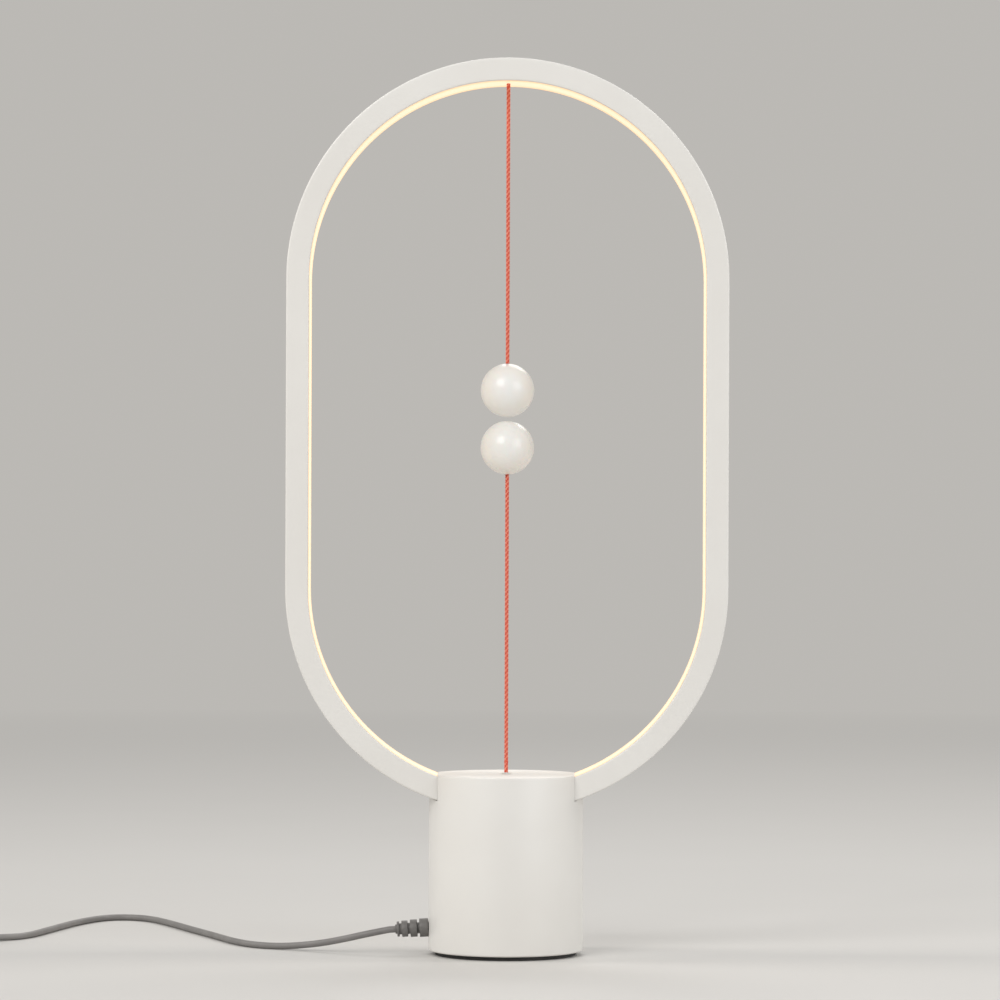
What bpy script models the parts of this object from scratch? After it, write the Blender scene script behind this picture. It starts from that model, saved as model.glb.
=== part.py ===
# Magnetic balance lamp: a stadium-shaped light ring stands in a round base, and two balls with magnets in them
# hang from the ring and rise from the base on strings, held apart by a small gap. Lifting the lower ball pulls
# a plunger in the base, which works the switch. Metres, +Z up, +X to the right, the viewer on the -Y side.
# The origin is the middle of the foot, on the table.

import math

import bmesh
import bpy
import numpy as np
from mathutils import Matrix, Vector

for item in list(bpy.data.objects):
    bpy.data.objects.remove(item, do_unlink=True)

# Fits and resolution
GAP = 0.0003
OVERRUN = 0.002
MERGE = 0.000001
TURN_SIDES = 40
SMALL_SIDES = 12
BALL_SIDES = 20
BALL_STEPS = 12
KNOT_STEPS = 6
CROWN_STEPS = 3
ROUTE_STEPS = 16
CLOSE_STEPS = 6
SHARP_ANGLE = 35

# Base
BASE_RADIUS = 0.0345
BASE_HEIGHT = 0.0807
BASE_WALL = 0.002
BASE_EDGE = 0.0005
FOOT_HEIGHT = 0.0018
FOOT_RECESS = 0.003
LEDGE_REACH = 0.0015
LEDGE_HEIGHT = 0.002
CAP_THICKNESS = 0.002
COVER_THICKNESS = 0.003
BALLAST_HEADROOM = 0.0045
BALLAST_SLOT_WIDTH = 0.007
BALLAST_SLOT_REACH = 0.0135

# Ring
RING_RADIUS = 0.0985
RING_BAND = 0.0101
RING_DEPTH = 0.032
RING_STRAIGHT = 0.1382
RING_SINK = 0.0159
RING_WALL = 0.0018
RING_CHAMFER = 0.0005
RING_END_DEGREES = 8
RING_ARC_STEPS = 24
NOTCH_CLEARANCE = 0.0005
NOTCH_STEPS = 40
NOTCH_DEGREES = 50
DIFFUSER_THICKNESS = 0.0014
SHELL_LEDGE = 0.0012
STRIP_WIDTH = 0.008
STRIP_THICKNESS = 0.0004
STRIP_END_DEGREES = 18.5
STRIP_STRAIGHT_STEPS = 11
LED_EVERY = 3
LED_MARGIN = 0.0025
LED_HEIGHT = 0.0012
BLOCK_START_DEGREES = 9
BLOCK_END_DEGREES = 14
BLOCK_STEPS = 3
BLOCK_SIDE = 0.0045
BLOCK_CLEARANCE = 0.0006

# Frame inside the base
FRAME_DROP = 0.0043
FRAME_PLATE = 0.0025
SADDLE_WIDTH = 0.028
SADDLE_HOLE_GAP = 0.0004
SADDLE_RISE = 0.0067
LEG_RADIUS = 0.003
LEG_INSET = 0.0017
LEG_DEGREES = (90, 210, 330)
POST_RADIUS = 0.0028
GUIDE_RADIUS = 0.0055
GUIDE_BORE = 0.0042
GUIDE_BELOW = 0.008
GUIDE_HEADROOM = 0.0047
GUIDE_TOP_WALL = 0.0015
WIRE_HOLE_RADIUS = 0.003
WIRE_HOLE_Y = 0.0083

# Screws
SCREW_RADIUS = 0.0014
SCREW_HEAD_RADIUS = 0.0026
SCREW_HEAD = 0.0015
SCREW_POINT = 0.001
RING_SCREW_DEGREES = 12
RING_SCREW_SEAT = 0.003
RING_SCREW_LENGTH = 0.0092
COVER_SCREW_LENGTH = 0.012
BOARD_SCREW_LENGTH = 0.008

# Plunger, its spring and the switch
PLUNGER_TRAVEL = 0.003
PLUNGER_LENGTH = 0.018
PLUNGER_WALL = 0.001
PLUNGER_TOP_WALL = 0.0015
SPRING_LENGTH = 0.0065
SPRING_WIRE = 0.0003
SPRING_RADIUS = 0.003
SPRING_TURNS = 4
SPRING_POINTS = 9
BOARD_LEG_GAP = 0.0008
BOARD_WIDTH = 0.028
BOARD_THICKNESS = 0.0016
POST_INSET_X = 0.0045
POST_INSET_Y = 0.004
SWITCH_LENGTH = 0.0198
SWITCH_WIDTH = 0.0064
SWITCH_HEIGHT = 0.0082
PIVOT_ARM = 0.014
PIVOT_INSET = 0.0033
PIVOT_RISE = 0.0022
PIVOT_PIN_RADIUS = 0.0004
EAR_THICKNESS = 0.0012
EAR_HALF = 0.0018
LEVER_THICKNESS = 0.0003
LEVER_BARREL = 0.0012
BUTTON_ARM = 0.004
BUTTON_RADIUS = 0.001
BUTTON_DEPTH = 0.002
CHIP_SIZE = (0.007, 0.005, 0.0016)
CHIP_PLACE_SHARES = (-0.2, -0.286)
CAPACITOR_RADIUS = 0.003
CAPACITOR_HEIGHT = 0.008
CAPACITOR_PLACE_SHARES = (-0.3, 0.071)
LED_SOCKET_SIZE = (0.0045, 0.0065, 0.004)
WIRE_HOLE_PLACE_SHARE = 0.634
POWER_SOCKET_SIZE = (0.006, 0.006, 0.007)
POWER_SOCKET_INSET = 0.0065

# Strings and balls
STRING_RADIUS = 0.00095
STRING_CLEARANCE = 0.0004
BEND_RADIUS = 0.00105
KNOT_RADIUS = 0.002
BALL_RADIUS = 0.012
BALL_GAP = 0.0017
BALL_BORE = 0.0043
BALL_FLOOR = 0.0015
MAGNET_HEIGHT = 0.006
PLUG_DEPTH = 0.009
UPPER_DROP = 0.1254
UPPER_PIVOT_DROP = 0.0015
ANCHOR_HEAD_RADIUS = 0.003
ANCHOR_HEAD = 0.0012
LOWER_PIVOT_RISE = 0.0055
LOWER_BEND_RISE = 0.036
EYELET_FLANGE_RADIUS = 0.0026
EYELET_FLANGE = 0.0004
EYELET_WALL = 0.0006

# Power cord, its strain relief and plug
CORD_RADIUS = 0.0015
RELIEF_HEIGHT = 0.0119
RELIEF_DROOP_DEGREES = 3.6
RELIEF_RADIUS = 0.00415
RELIEF_END_RADIUS = 0.0034
RELIEF_CORE = 0.0025
RELIEF_RIB_LENGTHS = (0.0039, 0.0031, 0.0027, 0.0010)
RELIEF_RIB_GAP = 0.0011
RELIEF_NECK = 0.0029
RELIEF_FLANGE = 0.0015
CORD_STEP = 0.0072
WIRE_RADIUS = 0.0006
WIRE_OFFSET = 0.0013
WIRE_STEP = 0.003
COIL_CENTRE = (-0.2659, 0.0537)
COIL_START_DEGREES = -51.5
COIL_RADIUS = 0.0214
COIL_PITCH = 0.0036
COIL_LAYER_RISE = 0.0036
COIL_LAYERS = 4
COIL_LAYER_TURNS = 2.5
COIL_POINTS = 24
TIE_WIDTH = 0.006
TIE_THICKNESS = 0.0006
TIE_EDGE = 0.0002
PLUG_BODY = (0.024, 0.0125, 0.0082)
PLUG_BODY_EDGE = 0.0012
PLUG_SHELL = (0.0125, 0.012, 0.0045)
PLUG_SHELL_WALL = 0.0004
PLUG_TONGUE = (0.009, 0.0104, 0.0018)

# Points on the power cord's middle line, from the strain relief to the coil, chosen along the photographed cord
CORD_ROUTE = (
    (-0.0629, 0.0012, 0.0085),
    (-0.0730, 0.0045, 0.0060),
    (-0.0830, 0.0090, 0.0038),
    (-0.0945, 0.0145, 0.0021),
    (-0.1035, 0.0180, 0.0015),
    (-0.1105, 0.0215, 0.0015),
    (-0.1175, 0.0290, 0.0015),
    (-0.1248, 0.0420, 0.0015),
    (-0.1312, 0.0575, 0.0015),
    (-0.1400, 0.0790, 0.0015),
    (-0.1490, 0.1005, 0.0015),
    (-0.1572, 0.1210, 0.0015),
    (-0.1644, 0.1375, 0.0015),
    (-0.1702, 0.1485, 0.0015),
    (-0.1768, 0.1558, 0.0015),
    (-0.1848, 0.1588, 0.0015),
    (-0.1920, 0.1563, 0.0015),
    (-0.1978, 0.1485, 0.0015),
    (-0.2028, 0.1365, 0.0015),
    (-0.2068, 0.1240, 0.0015),
    (-0.2112, 0.1055, 0.0015),
    (-0.2155, 0.0870, 0.0015),
    (-0.2192, 0.0715, 0.0015),
    (-0.2245, 0.0600, 0.0015),
    (-0.2330, 0.0515, 0.0018),
    (-0.2430, 0.0440, 0.0022),
)

# Points on the last stretch's middle line, from the coil to the plug
PLUG_ROUTE = (
    (-0.2648, 0.0284, 0.0126),
    (-0.2735, 0.0262, 0.0108),
    (-0.2830, 0.0278, 0.0080),
    (-0.2915, 0.0335, 0.0056),
    (-0.2972, 0.0420, 0.0044),
    (-0.2998, 0.0510, 0.0041),
    (-0.3005, 0.0575, 0.0041),
)

# Heights and radii that follow from the sizes above
BASE_BORE = BASE_RADIUS - BASE_WALL
INNER_RADIUS = BASE_BORE - GAP
CAP_UNDERSIDE = BASE_HEIGHT - CAP_THICKNESS
COVER_UNDERSIDE = FOOT_HEIGHT + GAP
COVER_TOP = COVER_UNDERSIDE + COVER_THICKNESS
FLOOR_LEVEL = COVER_TOP + GAP
RING_INNER = RING_RADIUS - RING_BAND
RING_LOW_Z = BASE_HEIGHT - RING_SINK + RING_RADIUS
RING_HIGH_Z = RING_LOW_Z + RING_STRAIGHT
RING_INNER_TOP = RING_HIGH_Z + RING_INNER
RING_SIDE = RING_DEPTH / 2
STRIP_OUTER = RING_RADIUS - RING_WALL - GAP
LEDGE_OUTER = RING_INNER + DIFFUSER_THICKNESS + GAP + SHELL_LEDGE
PLATE_TOP = RING_LOW_Z - RING_RADIUS - FRAME_DROP
PLATE_UNDERSIDE = PLATE_TOP - FRAME_PLATE
SADDLE_TOP = RING_LOW_Z - RING_RADIUS + SADDLE_RISE
GUIDE_TOP = CAP_UNDERSIDE - GUIDE_HEADROOM
GUIDE_SHOULDER = GUIDE_TOP - GUIDE_TOP_WALL
GUIDE_END = PLATE_UNDERSIDE - GUIDE_BELOW
PLUNGER_RADIUS = GUIDE_BORE - GAP
PLUNGER_TOP = GUIDE_SHOULDER - SPRING_LENGTH
PLUNGER_END = PLUNGER_TOP - PLUNGER_LENGTH
STRING_HOLE = STRING_RADIUS + STRING_CLEARANCE
SCREW_HOLE = SCREW_RADIUS + GAP
HEAD_HOLE = SCREW_HEAD_RADIUS + GAP

# The legs stand just inside the wall. The board lies between them, and the ballast fills the room under it.
LEG_CIRCLE = INNER_RADIUS - LEG_RADIUS - LEG_INSET
BALLAST_RADIUS = LEG_CIRCLE - LEG_RADIUS - GAP
BOARD_LENGTH = 2 * (LEG_CIRCLE * math.cos(math.radians(LEG_DEGREES[-1])) - LEG_RADIUS - BOARD_LEG_GAP)
POST_X = BOARD_LENGTH / 2 - POST_INSET_X
POST_Y = BOARD_WIDTH / 2 - POST_INSET_Y
WIRE_HOLE_X = WIRE_HOLE_PLACE_SHARE * (POST_X - POST_RADIUS)
SADDLE_INNER = WIRE_HOLE_X + WIRE_HOLE_RADIUS + SADDLE_HOLE_GAP
POWER_SOCKET_X = POWER_SOCKET_INSET - BOARD_LENGTH / 2

# The lever tilts as far below level at the plunger's low end as it does above level at its high end
LEVER_TILT = math.asin(PLUNGER_TRAVEL / 2 / PIVOT_ARM)
LEVER_REACH = PIVOT_ARM + PLUNGER_RADIUS
PIVOT_Z = PLUNGER_END - GAP - LEVER_THICKNESS / 2 - LEVER_REACH * math.tan(LEVER_TILT)
SWITCH_TOP = PIVOT_Z - PIVOT_RISE
SWITCH_UNDERSIDE = SWITCH_TOP - SWITCH_HEIGHT
BOARD_TOP = SWITCH_UNDERSIDE - GAP
BOARD_UNDERSIDE = BOARD_TOP - BOARD_THICKNESS
POWER_SOCKET_END = BOARD_UNDERSIDE - GAP - POWER_SOCKET_SIZE[2]
BALLAST_TOP = POWER_SOCKET_END - BALLAST_HEADROOM

UPPER_PIVOT = Vector((0, 0, RING_INNER_TOP - UPPER_PIVOT_DROP))
UPPER_BALL = Vector((0, 0, RING_INNER_TOP - UPPER_DROP - BALL_RADIUS))
LOWER_BALL = UPPER_BALL - Vector((0, 0, 2 * BALL_RADIUS + BALL_GAP))
LOWER_PIVOT = Vector((0, 0, BASE_HEIGHT + LOWER_PIVOT_RISE))
LOWER_BEND = LOWER_PIVOT + Vector((0, 0, LOWER_BEND_RISE))


def paint(name, colour, roughness, metallic=0.0, glow=0.0):
    material = bpy.data.materials.new(name)
    material.use_nodes = True
    shader = material.node_tree.nodes["Principled BSDF"]
    shader.inputs["Base Color"].default_value = (*colour, 1)
    shader.inputs["Roughness"].default_value = roughness
    shader.inputs["Metallic"].default_value = metallic
    shader.inputs["Emission Color"].default_value = (*colour, 1)
    shader.inputs["Emission Strength"].default_value = glow
    material.diffuse_color = (*colour, 1)
    return material


SHELL_PAINT = paint("pale_satin_plastic", (0.80, 0.78, 0.74), 0.45)
CAP_PAINT = paint("white_matt_plastic", (0.86, 0.84, 0.80), 0.5)
GLOW_PAINT = paint("milky_diffuser", (1.0, 0.86, 0.62), 0.5, glow=1.0)
STRIP_PAINT = paint("white_flexible_board", (0.85, 0.85, 0.82), 0.5)
FRAME_PAINT = paint("grey_moulded_frame", (0.30, 0.30, 0.31), 0.6)
BOARD_PAINT = paint("green_circuit_board", (0.05, 0.22, 0.10), 0.4)
BLACK_PAINT = paint("black_plastic", (0.03, 0.03, 0.03), 0.45)
RED_PAINT = paint("red_plastic", (0.55, 0.06, 0.04), 0.45)
FOOT_PAINT = paint("dark_rubber", (0.04, 0.04, 0.04), 0.85)
STEEL_PAINT = paint("zinc_plated_steel", (0.62, 0.62, 0.60), 0.35, metallic=1.0)
CAST_PAINT = paint("cast_iron", (0.16, 0.16, 0.17), 0.7, metallic=1.0)
MAGNET_PAINT = paint("nickel_plated_magnet", (0.72, 0.70, 0.66), 0.2, metallic=1.0)
BALL_PAINT = paint("white_ball_plastic", (0.86, 0.85, 0.82), 0.35)
STRING_PAINT = paint("coral_red_string", (0.80, 0.12, 0.07), 0.8)
CORD_PAINT = paint("grey_cord_jacket", (0.22, 0.21, 0.20), 0.5)
WIRE_PAINT = paint("white_wire_jacket", (0.78, 0.78, 0.76), 0.5)
TIE_PAINT = paint("grey_fabric_strap", (0.28, 0.28, 0.29), 0.9)


def finished(name, mesh_data, material, smooth=True):
    piece = bpy.data.objects.new(name, mesh_data)
    bpy.context.scene.collection.objects.link(piece)
    piece.data.materials.append(material)
    if smooth:
        piece.data.shade_smooth()
        piece.data.set_sharp_from_angle(angle=math.radians(SHARP_ANGLE))
    return piece


def from_bmesh(name, mesh, material, smooth=True):
    bmesh.ops.recalc_face_normals(mesh, faces=mesh.faces)
    mesh_data = bpy.data.meshes.new(name)
    mesh.to_mesh(mesh_data)
    mesh.free()
    return finished(name, mesh_data, material, smooth)


# A solid turned about its own Z axis. An outline that starts and ends on the axis stays open there.
def turned(name, outline, material, sides=TURN_SIDES):
    mesh = bmesh.new()
    points = [mesh.verts.new((radius, 0, height)) for radius, height in outline]
    pairs = list(zip(points, points[1:]))
    if outline[0][0] > 0:
        pairs.append((points[-1], points[0]))
    edges = [mesh.edges.new(pair) for pair in pairs]
    bmesh.ops.spin(
        mesh, geom=points + edges, axis=(0, 0, 1), cent=(0, 0, 0), angle=math.tau, steps=sides, use_merge=True
    )
    bmesh.ops.remove_doubles(mesh, verts=mesh.verts, dist=MERGE)
    return from_bmesh(name, mesh, material)


def rod(name, radius, low, high, material, sides=SMALL_SIDES):
    return turned(name, ((0, low), (radius, low), (radius, high), (0, high)), material, sides)


def box(name, size, centre, material, edge=0.0):
    mesh = bmesh.new()
    bmesh.ops.create_cube(mesh, size=1, matrix=Matrix.Diagonal((*size, 1)))
    if edge:
        bmesh.ops.bevel(mesh, geom=mesh.edges[:], offset=edge, segments=1, affect="EDGES")
    piece = from_bmesh(name, mesh, material, smooth=False)
    piece.location = centre
    return piece


# Joins or cuts with other shapes, all at once. They then only help and are no pieces of the lamp.
def combine(piece, helpers, operation="DIFFERENCE"):
    modifier = piece.modifiers.new(helpers[0].name, "BOOLEAN")
    modifier.solver = "EXACT"
    modifier.operation = operation
    modifier.operand_type = "COLLECTION"
    modifier.collection = bpy.data.collections.new(f"{piece.name}_{operation.lower()}")
    for helper in helpers:
        modifier.collection.objects.link(helper)
        helper.hide_render = True
        helper.display_type = "WIRE"


def helper_rod(name, radius, low, high, centre=(0, 0), sides=SMALL_SIDES):
    helper = rod(name, radius, low, high, FRAME_PAINT, sides)
    helper.location = (*centre, 0)
    return helper


# A hole for a screw whose head sits at the step
def stepped_cutter(name, low, step, high):
    outline = ((0, low), (HEAD_HOLE, low), (HEAD_HOLE, step), (SCREW_HOLE, step), (SCREW_HOLE, high), (0, high))
    return turned(name, outline, FRAME_PAINT, SMALL_SIDES)


def tube(name, points, radius, material, resolution=2):
    curve = bpy.data.curves.new(name, "CURVE")
    curve.dimensions = "3D"
    curve.bevel_depth = radius
    curve.bevel_resolution = resolution
    curve.use_fill_caps = True
    spline = curve.splines.new("POLY")
    spline.points.add(len(points) - 1)
    for spline_point, place in zip(spline.points, points):
        spline_point.co = (*place, 1)
    piece = bpy.data.objects.new(name, curve)
    bpy.context.scene.collection.objects.link(piece)
    curve.materials.append(material)
    return piece


def length_of(points):
    steps = np.diff(np.array(points), axis=0)
    return float(np.linalg.norm(steps, axis=1).sum())


# A smooth curve through the route's points, read at even steps
def smooth_route(route, step):
    route = [Vector(place) for place in route]
    padded = [2 * route[0] - route[1], *route, 2 * route[-1] - route[-2]]
    dense = []
    for before, start, end, after in zip(padded, padded[1:], padded[2:], padded[3:]):
        for share in np.linspace(0, 1, ROUTE_STEPS, endpoint=False):
            bend = (2 * before - 5 * start + 4 * end - after) * share**2
            twist = (3 * start - before - 3 * end + after) * share**3
            dense.append((2 * start + (end - before) * share + bend + twist) / 2)
    dense.append(route[-1])
    dense = np.array(dense)
    run = np.concatenate([[0], np.cumsum(np.linalg.norm(np.diff(dense, axis=0), axis=1))])
    places = np.linspace(0, run[-1], max(2, round(run[-1] / step) + 1))
    return [Vector(np.interp(places, run, dense[:, axis])[i] for axis in range(3)) for i in range(len(places))]


def pivot_empty(name, place):
    empty = bpy.data.objects.new(name, None)
    empty.empty_display_size = BALL_RADIUS
    empty.location = place
    bpy.context.scene.collection.objects.link(empty)
    return empty


# Hangs pieces, placed in the lamp's frame, from an empty that lies on their joint's axis
def hang(empty, *pieces):
    for piece in pieces:
        piece.parent = empty
        piece.location = piece.location - empty.location


# Ring


# Angles run from the ring's top, positive towards +X, each with the height of its arc's centre.
def ring_stations(end_degrees, straight_steps=1):
    end = math.radians(end_degrees)
    low_steps = round(RING_ARC_STEPS * (0.5 - end / math.pi))
    right = [(angle, RING_LOW_Z) for angle in np.linspace(math.pi - end, math.pi / 2, low_steps + 1)]
    right += [(math.pi / 2, height) for height in np.linspace(RING_LOW_Z, RING_HIGH_Z, straight_steps + 1)[1:]]
    high = np.linspace(math.pi / 2, 0, RING_ARC_STEPS // 2 + 1)
    right += [(angle, RING_HIGH_Z) for angle in high[1:]]
    left = [(-angle, height) for angle, height in right]
    return left + right[-2::-1]


def bottom_stations(start_degrees, end_degrees, steps):
    angles = np.linspace(math.pi - math.radians(start_degrees), math.pi - math.radians(end_degrees), steps + 1)
    return [(angle, RING_LOW_Z) for angle in angles]


def swept_mesh(section, stations):
    mesh = bmesh.new()
    loops = [
        [mesh.verts.new((r * math.sin(angle), depth, height + r * math.cos(angle))) for r, depth in section]
        for angle, height in stations
    ]
    count = len(section)
    spans = []
    for here, after in zip(loops, loops[1:]):
        spans.append(
            [mesh.faces.new((here[i], here[(i + 1) % count], after[(i + 1) % count], after[i])) for i in range(count)]
        )
    mesh.faces.new(loops[0])
    mesh.faces.new(reversed(loops[-1]))
    bmesh.ops.recalc_face_normals(mesh, faces=mesh.faces)
    return mesh, spans


def swept(name, section, stations, material):
    mesh, _ = swept_mesh(section, stations)
    return from_bmesh(name, mesh, material)


def band_cutter(name, inner, outer, half_depth):
    section = ((inner, -half_depth), (outer, -half_depth), (outer, half_depth), (inner, half_depth))
    return swept(name, section, bottom_stations(NOTCH_DEGREES, -NOTCH_DEGREES, NOTCH_STEPS), FRAME_PAINT)


# A solid of revolution set on the ring's lower arc, its own Z axis pointing at the arc's centre
def on_arc(piece, radius, side):
    angle = side * math.radians(RING_SCREW_DEGREES)
    piece.location = (radius * math.sin(angle), 0, RING_LOW_Z - radius * math.cos(angle))
    piece.rotation_euler = (0, -angle, 0)
    return piece


# Half of the ring's channel, open towards the middle plane and the inside. face_side is -1 at the front.
def ring_shell(name, face_side):
    face = face_side * RING_SIDE
    inside = face_side * (RING_SIDE - RING_WALL)
    seam = face_side * GAP / 2
    chamfer = face_side * RING_CHAMFER
    wall = RING_RADIUS - RING_WALL
    ledge_inner = LEDGE_OUTER - SHELL_LEDGE
    ledge_top = face_side * (RING_SIDE - RING_WALL - SHELL_LEDGE)
    section = (
        (RING_INNER, face - chamfer),
        (RING_INNER + RING_CHAMFER, face),
        (RING_RADIUS - RING_CHAMFER, face),
        (RING_RADIUS, face - chamfer),
        (RING_RADIUS, seam),
        (wall, seam),
        (wall, inside),
        (LEDGE_OUTER, inside),
        (LEDGE_OUTER, ledge_top),
        (ledge_inner, ledge_top),
        (ledge_inner, inside),
        (RING_INNER, inside),
    )
    shell = swept(name, section, ring_stations(RING_END_DEGREES), SHELL_PAINT)
    holes = [rod(f"{name}_screw_hole", SCREW_HOLE, -RING_WALL, 2 * RING_WALL, FRAME_PAINT) for _ in range(2)]
    combine(shell, [on_arc(hole, RING_RADIUS, side) for hole, side in zip(holes, (-1, 1))])


def ring_diffuser():
    outer = RING_INNER + DIFFUSER_THICKNESS
    half = RING_SIDE - RING_WALL - GAP
    section = ((RING_INNER, -half), (outer, -half), (outer, half), (RING_INNER, half))
    diffuser = swept("ring_diffuser", section, ring_stations(RING_END_DEGREES), GLOW_PAINT)
    hole = helper_rod("anchor_hole", STRING_HOLE, RING_INNER_TOP - OVERRUN, RING_INNER_TOP + 2 * OVERRUN)
    combine(diffuser, [hole])


def led_strip():
    inner = STRIP_OUTER - STRIP_THICKNESS
    half = STRIP_WIDTH / 2
    section = ((inner, -half), (STRIP_OUTER, -half), (STRIP_OUTER, half), (inner, half))
    mesh, spans = swept_mesh(section, ring_stations(STRIP_END_DEGREES, STRIP_STRAIGHT_STEPS))
    lamps = [faces[-1] for faces in spans[::LED_EVERY]]
    bmesh.ops.inset_individual(mesh, faces=lamps, thickness=LED_MARGIN, depth=0)
    bmesh.ops.inset_individual(mesh, faces=lamps, thickness=GAP, depth=LED_HEIGHT)
    from_bmesh("led_strip", mesh, STRIP_PAINT, smooth=False)


# The block closes each end of the channel and takes the screw that holds the ring to the frame.
def ring_end_block(name, side):
    inner = LEDGE_OUTER + GAP
    outer = RING_RADIUS - RING_WALL - BLOCK_CLEARANCE
    low = -(RING_SIDE - RING_WALL - GAP)
    section = ((inner, low), (outer, low), (outer, BLOCK_SIDE), (inner, BLOCK_SIDE))
    stations = bottom_stations(side * BLOCK_START_DEGREES, side * BLOCK_END_DEGREES, BLOCK_STEPS)
    block = swept(name, section, stations, FRAME_PAINT)
    hole = rod(f"{name}_hole", SCREW_HOLE, -RING_WALL, RING_BAND, FRAME_PAINT)
    combine(block, [on_arc(hole, RING_RADIUS, side)])


# A screw with its head's seat at the origin and its shank along +Z
def screw(name, length):
    outline = (
        (0, -SCREW_HEAD),
        (SCREW_HEAD_RADIUS, -SCREW_HEAD),
        (SCREW_HEAD_RADIUS, 0),
        (SCREW_RADIUS, 0),
        (SCREW_RADIUS, length - SCREW_POINT),
        (0, length),
    )
    return turned(name, outline, STEEL_PAINT, SMALL_SIDES)


def upper_string_anchor():
    low = RING_INNER_TOP
    seat = low + DIFFUSER_THICKNESS + GAP
    outline = (
        (0, low),
        (STRING_RADIUS, low),
        (STRING_RADIUS, seat),
        (ANCHOR_HEAD_RADIUS, seat),
        (ANCHOR_HEAD_RADIUS, seat + ANCHOR_HEAD),
        (0, seat + ANCHOR_HEAD),
    )
    turned("upper_string_anchor", outline, STRING_PAINT, SMALL_SIDES)


def build_ring():
    ring_shell("ring_front_shell", -1)
    ring_shell("ring_back_shell", 1)
    ring_diffuser()
    led_strip()
    upper_string_anchor()
    for name, side in (("left", -1), ("right", 1)):
        ring_end_block(f"ring_end_block_{name}", side)
        on_arc(screw(f"ring_screw_{name}", RING_SCREW_LENGTH), RING_RADIUS + GAP + RING_SCREW_SEAT + GAP, side)


# Base


def base_housing():
    ledge = BASE_BORE - LEDGE_REACH
    cap_seat = CAP_UNDERSIDE - GAP
    cover_seat = FLOOR_LEVEL
    outline = (
        (BASE_RADIUS - BASE_EDGE, FOOT_HEIGHT),
        (BASE_RADIUS, FOOT_HEIGHT + BASE_EDGE),
        (BASE_RADIUS, BASE_HEIGHT - BASE_EDGE),
        (BASE_RADIUS - BASE_EDGE, BASE_HEIGHT),
        (BASE_BORE, BASE_HEIGHT),
        (BASE_BORE, cap_seat),
        (ledge, cap_seat),
        (BASE_BORE, cap_seat - LEDGE_HEIGHT),
        (BASE_BORE, cover_seat + LEDGE_HEIGHT),
        (ledge, cover_seat + LEDGE_HEIGHT),
        (ledge, cover_seat),
        (BASE_BORE, cover_seat),
        (BASE_BORE, FOOT_HEIGHT),
    )
    housing = turned("base_housing", outline, SHELL_PAINT)
    hole = relief_rod("relief_hole", RELIEF_CORE + GAP, BASE_WALL + OVERRUN, OVERRUN)
    combine(housing, [ring_notch("housing_notch"), hole])


def ring_notch(name):
    inner = RING_INNER - NOTCH_CLEARANCE
    outer = RING_RADIUS + NOTCH_CLEARANCE
    return band_cutter(name, inner, outer, RING_SIDE + GAP)


def top_cap():
    cap = rod("top_cap", INNER_RADIUS, CAP_UNDERSIDE, BASE_HEIGHT, CAP_PAINT, TURN_SIDES)
    radius = STRING_HOLE + EYELET_WALL + GAP
    seat = helper_rod("eyelet_seat", radius, CAP_UNDERSIDE - OVERRUN, BASE_HEIGHT + OVERRUN)
    combine(cap, [ring_notch("cap_notch"), seat])


def string_eyelet():
    outside = STRING_HOLE + EYELET_WALL
    seat = BASE_HEIGHT + GAP
    outline = (
        (STRING_HOLE, CAP_UNDERSIDE),
        (outside, CAP_UNDERSIDE),
        (outside, seat),
        (EYELET_FLANGE_RADIUS, seat),
        (EYELET_FLANGE_RADIUS, seat + EYELET_FLANGE),
        (STRING_HOLE, seat + EYELET_FLANGE),
    )
    turned("string_eyelet", outline, CAP_PAINT, SMALL_SIDES)


def leg_places():
    return [(LEG_CIRCLE * math.cos(math.radians(a)), LEG_CIRCLE * math.sin(math.radians(a))) for a in LEG_DEGREES]


def post_places():
    return [(-POST_X, POST_Y), (POST_X, POST_Y)]


# What is cut away above the plate, so that two saddles are left under the ring
def saddle_cutters():
    clear = SADDLE_TOP - PLATE_TOP + OVERRUN
    middle = PLATE_TOP + clear / 2
    cutters = [band_cutter("frame_bed", RING_INNER / 2, RING_RADIUS + GAP, 2 * BASE_RADIUS)]
    for side in (-1, 1):
        place = (0, side * (SADDLE_WIDTH / 2 + BASE_RADIUS), middle)
        cutters.append(box("frame_flank", (4 * BASE_RADIUS, 2 * BASE_RADIUS, clear), place, FRAME_PAINT))
    cutters.append(box("frame_well", (2 * SADDLE_INNER, SADDLE_WIDTH + OVERRUN, clear), (0, 0, middle), FRAME_PAINT))
    return cutters


# The bores of the guide, the legs and the posts, the ring's screw holes and the hole for the wires
def frame_bores():
    bores = [
        helper_rod("guide_bore", GUIDE_BORE, GUIDE_END - OVERRUN, GUIDE_SHOULDER, sides=BALL_SIDES),
        helper_rod("guide_string_hole", STRING_HOLE, GUIDE_SHOULDER - OVERRUN, GUIDE_TOP + OVERRUN),
    ]
    wire_place = (WIRE_HOLE_X, WIRE_HOLE_Y)
    bores.append(helper_rod("wire_hole", WIRE_HOLE_RADIUS, PLATE_UNDERSIDE - OVERRUN, PLATE_TOP + OVERRUN, wire_place))
    for place in leg_places():
        depth = FLOOR_LEVEL + COVER_SCREW_LENGTH
        bores.append(helper_rod("leg_hole", SCREW_HOLE, FLOOR_LEVEL - OVERRUN, depth, place))
    for place in post_places():
        depth = BOARD_TOP + BOARD_SCREW_LENGTH
        bores.append(helper_rod("post_hole", SCREW_HOLE, BOARD_TOP - OVERRUN, depth, place))
    for side in (-1, 1):
        reach = RING_SCREW_SEAT + FRAME_DROP + FRAME_PLATE + OVERRUN
        hole = stepped_cutter("ring_screw_hole", -reach, -RING_SCREW_SEAT - GAP, OVERRUN)
        bores.append(on_arc(hole, RING_RADIUS, side))
    return bores


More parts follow.
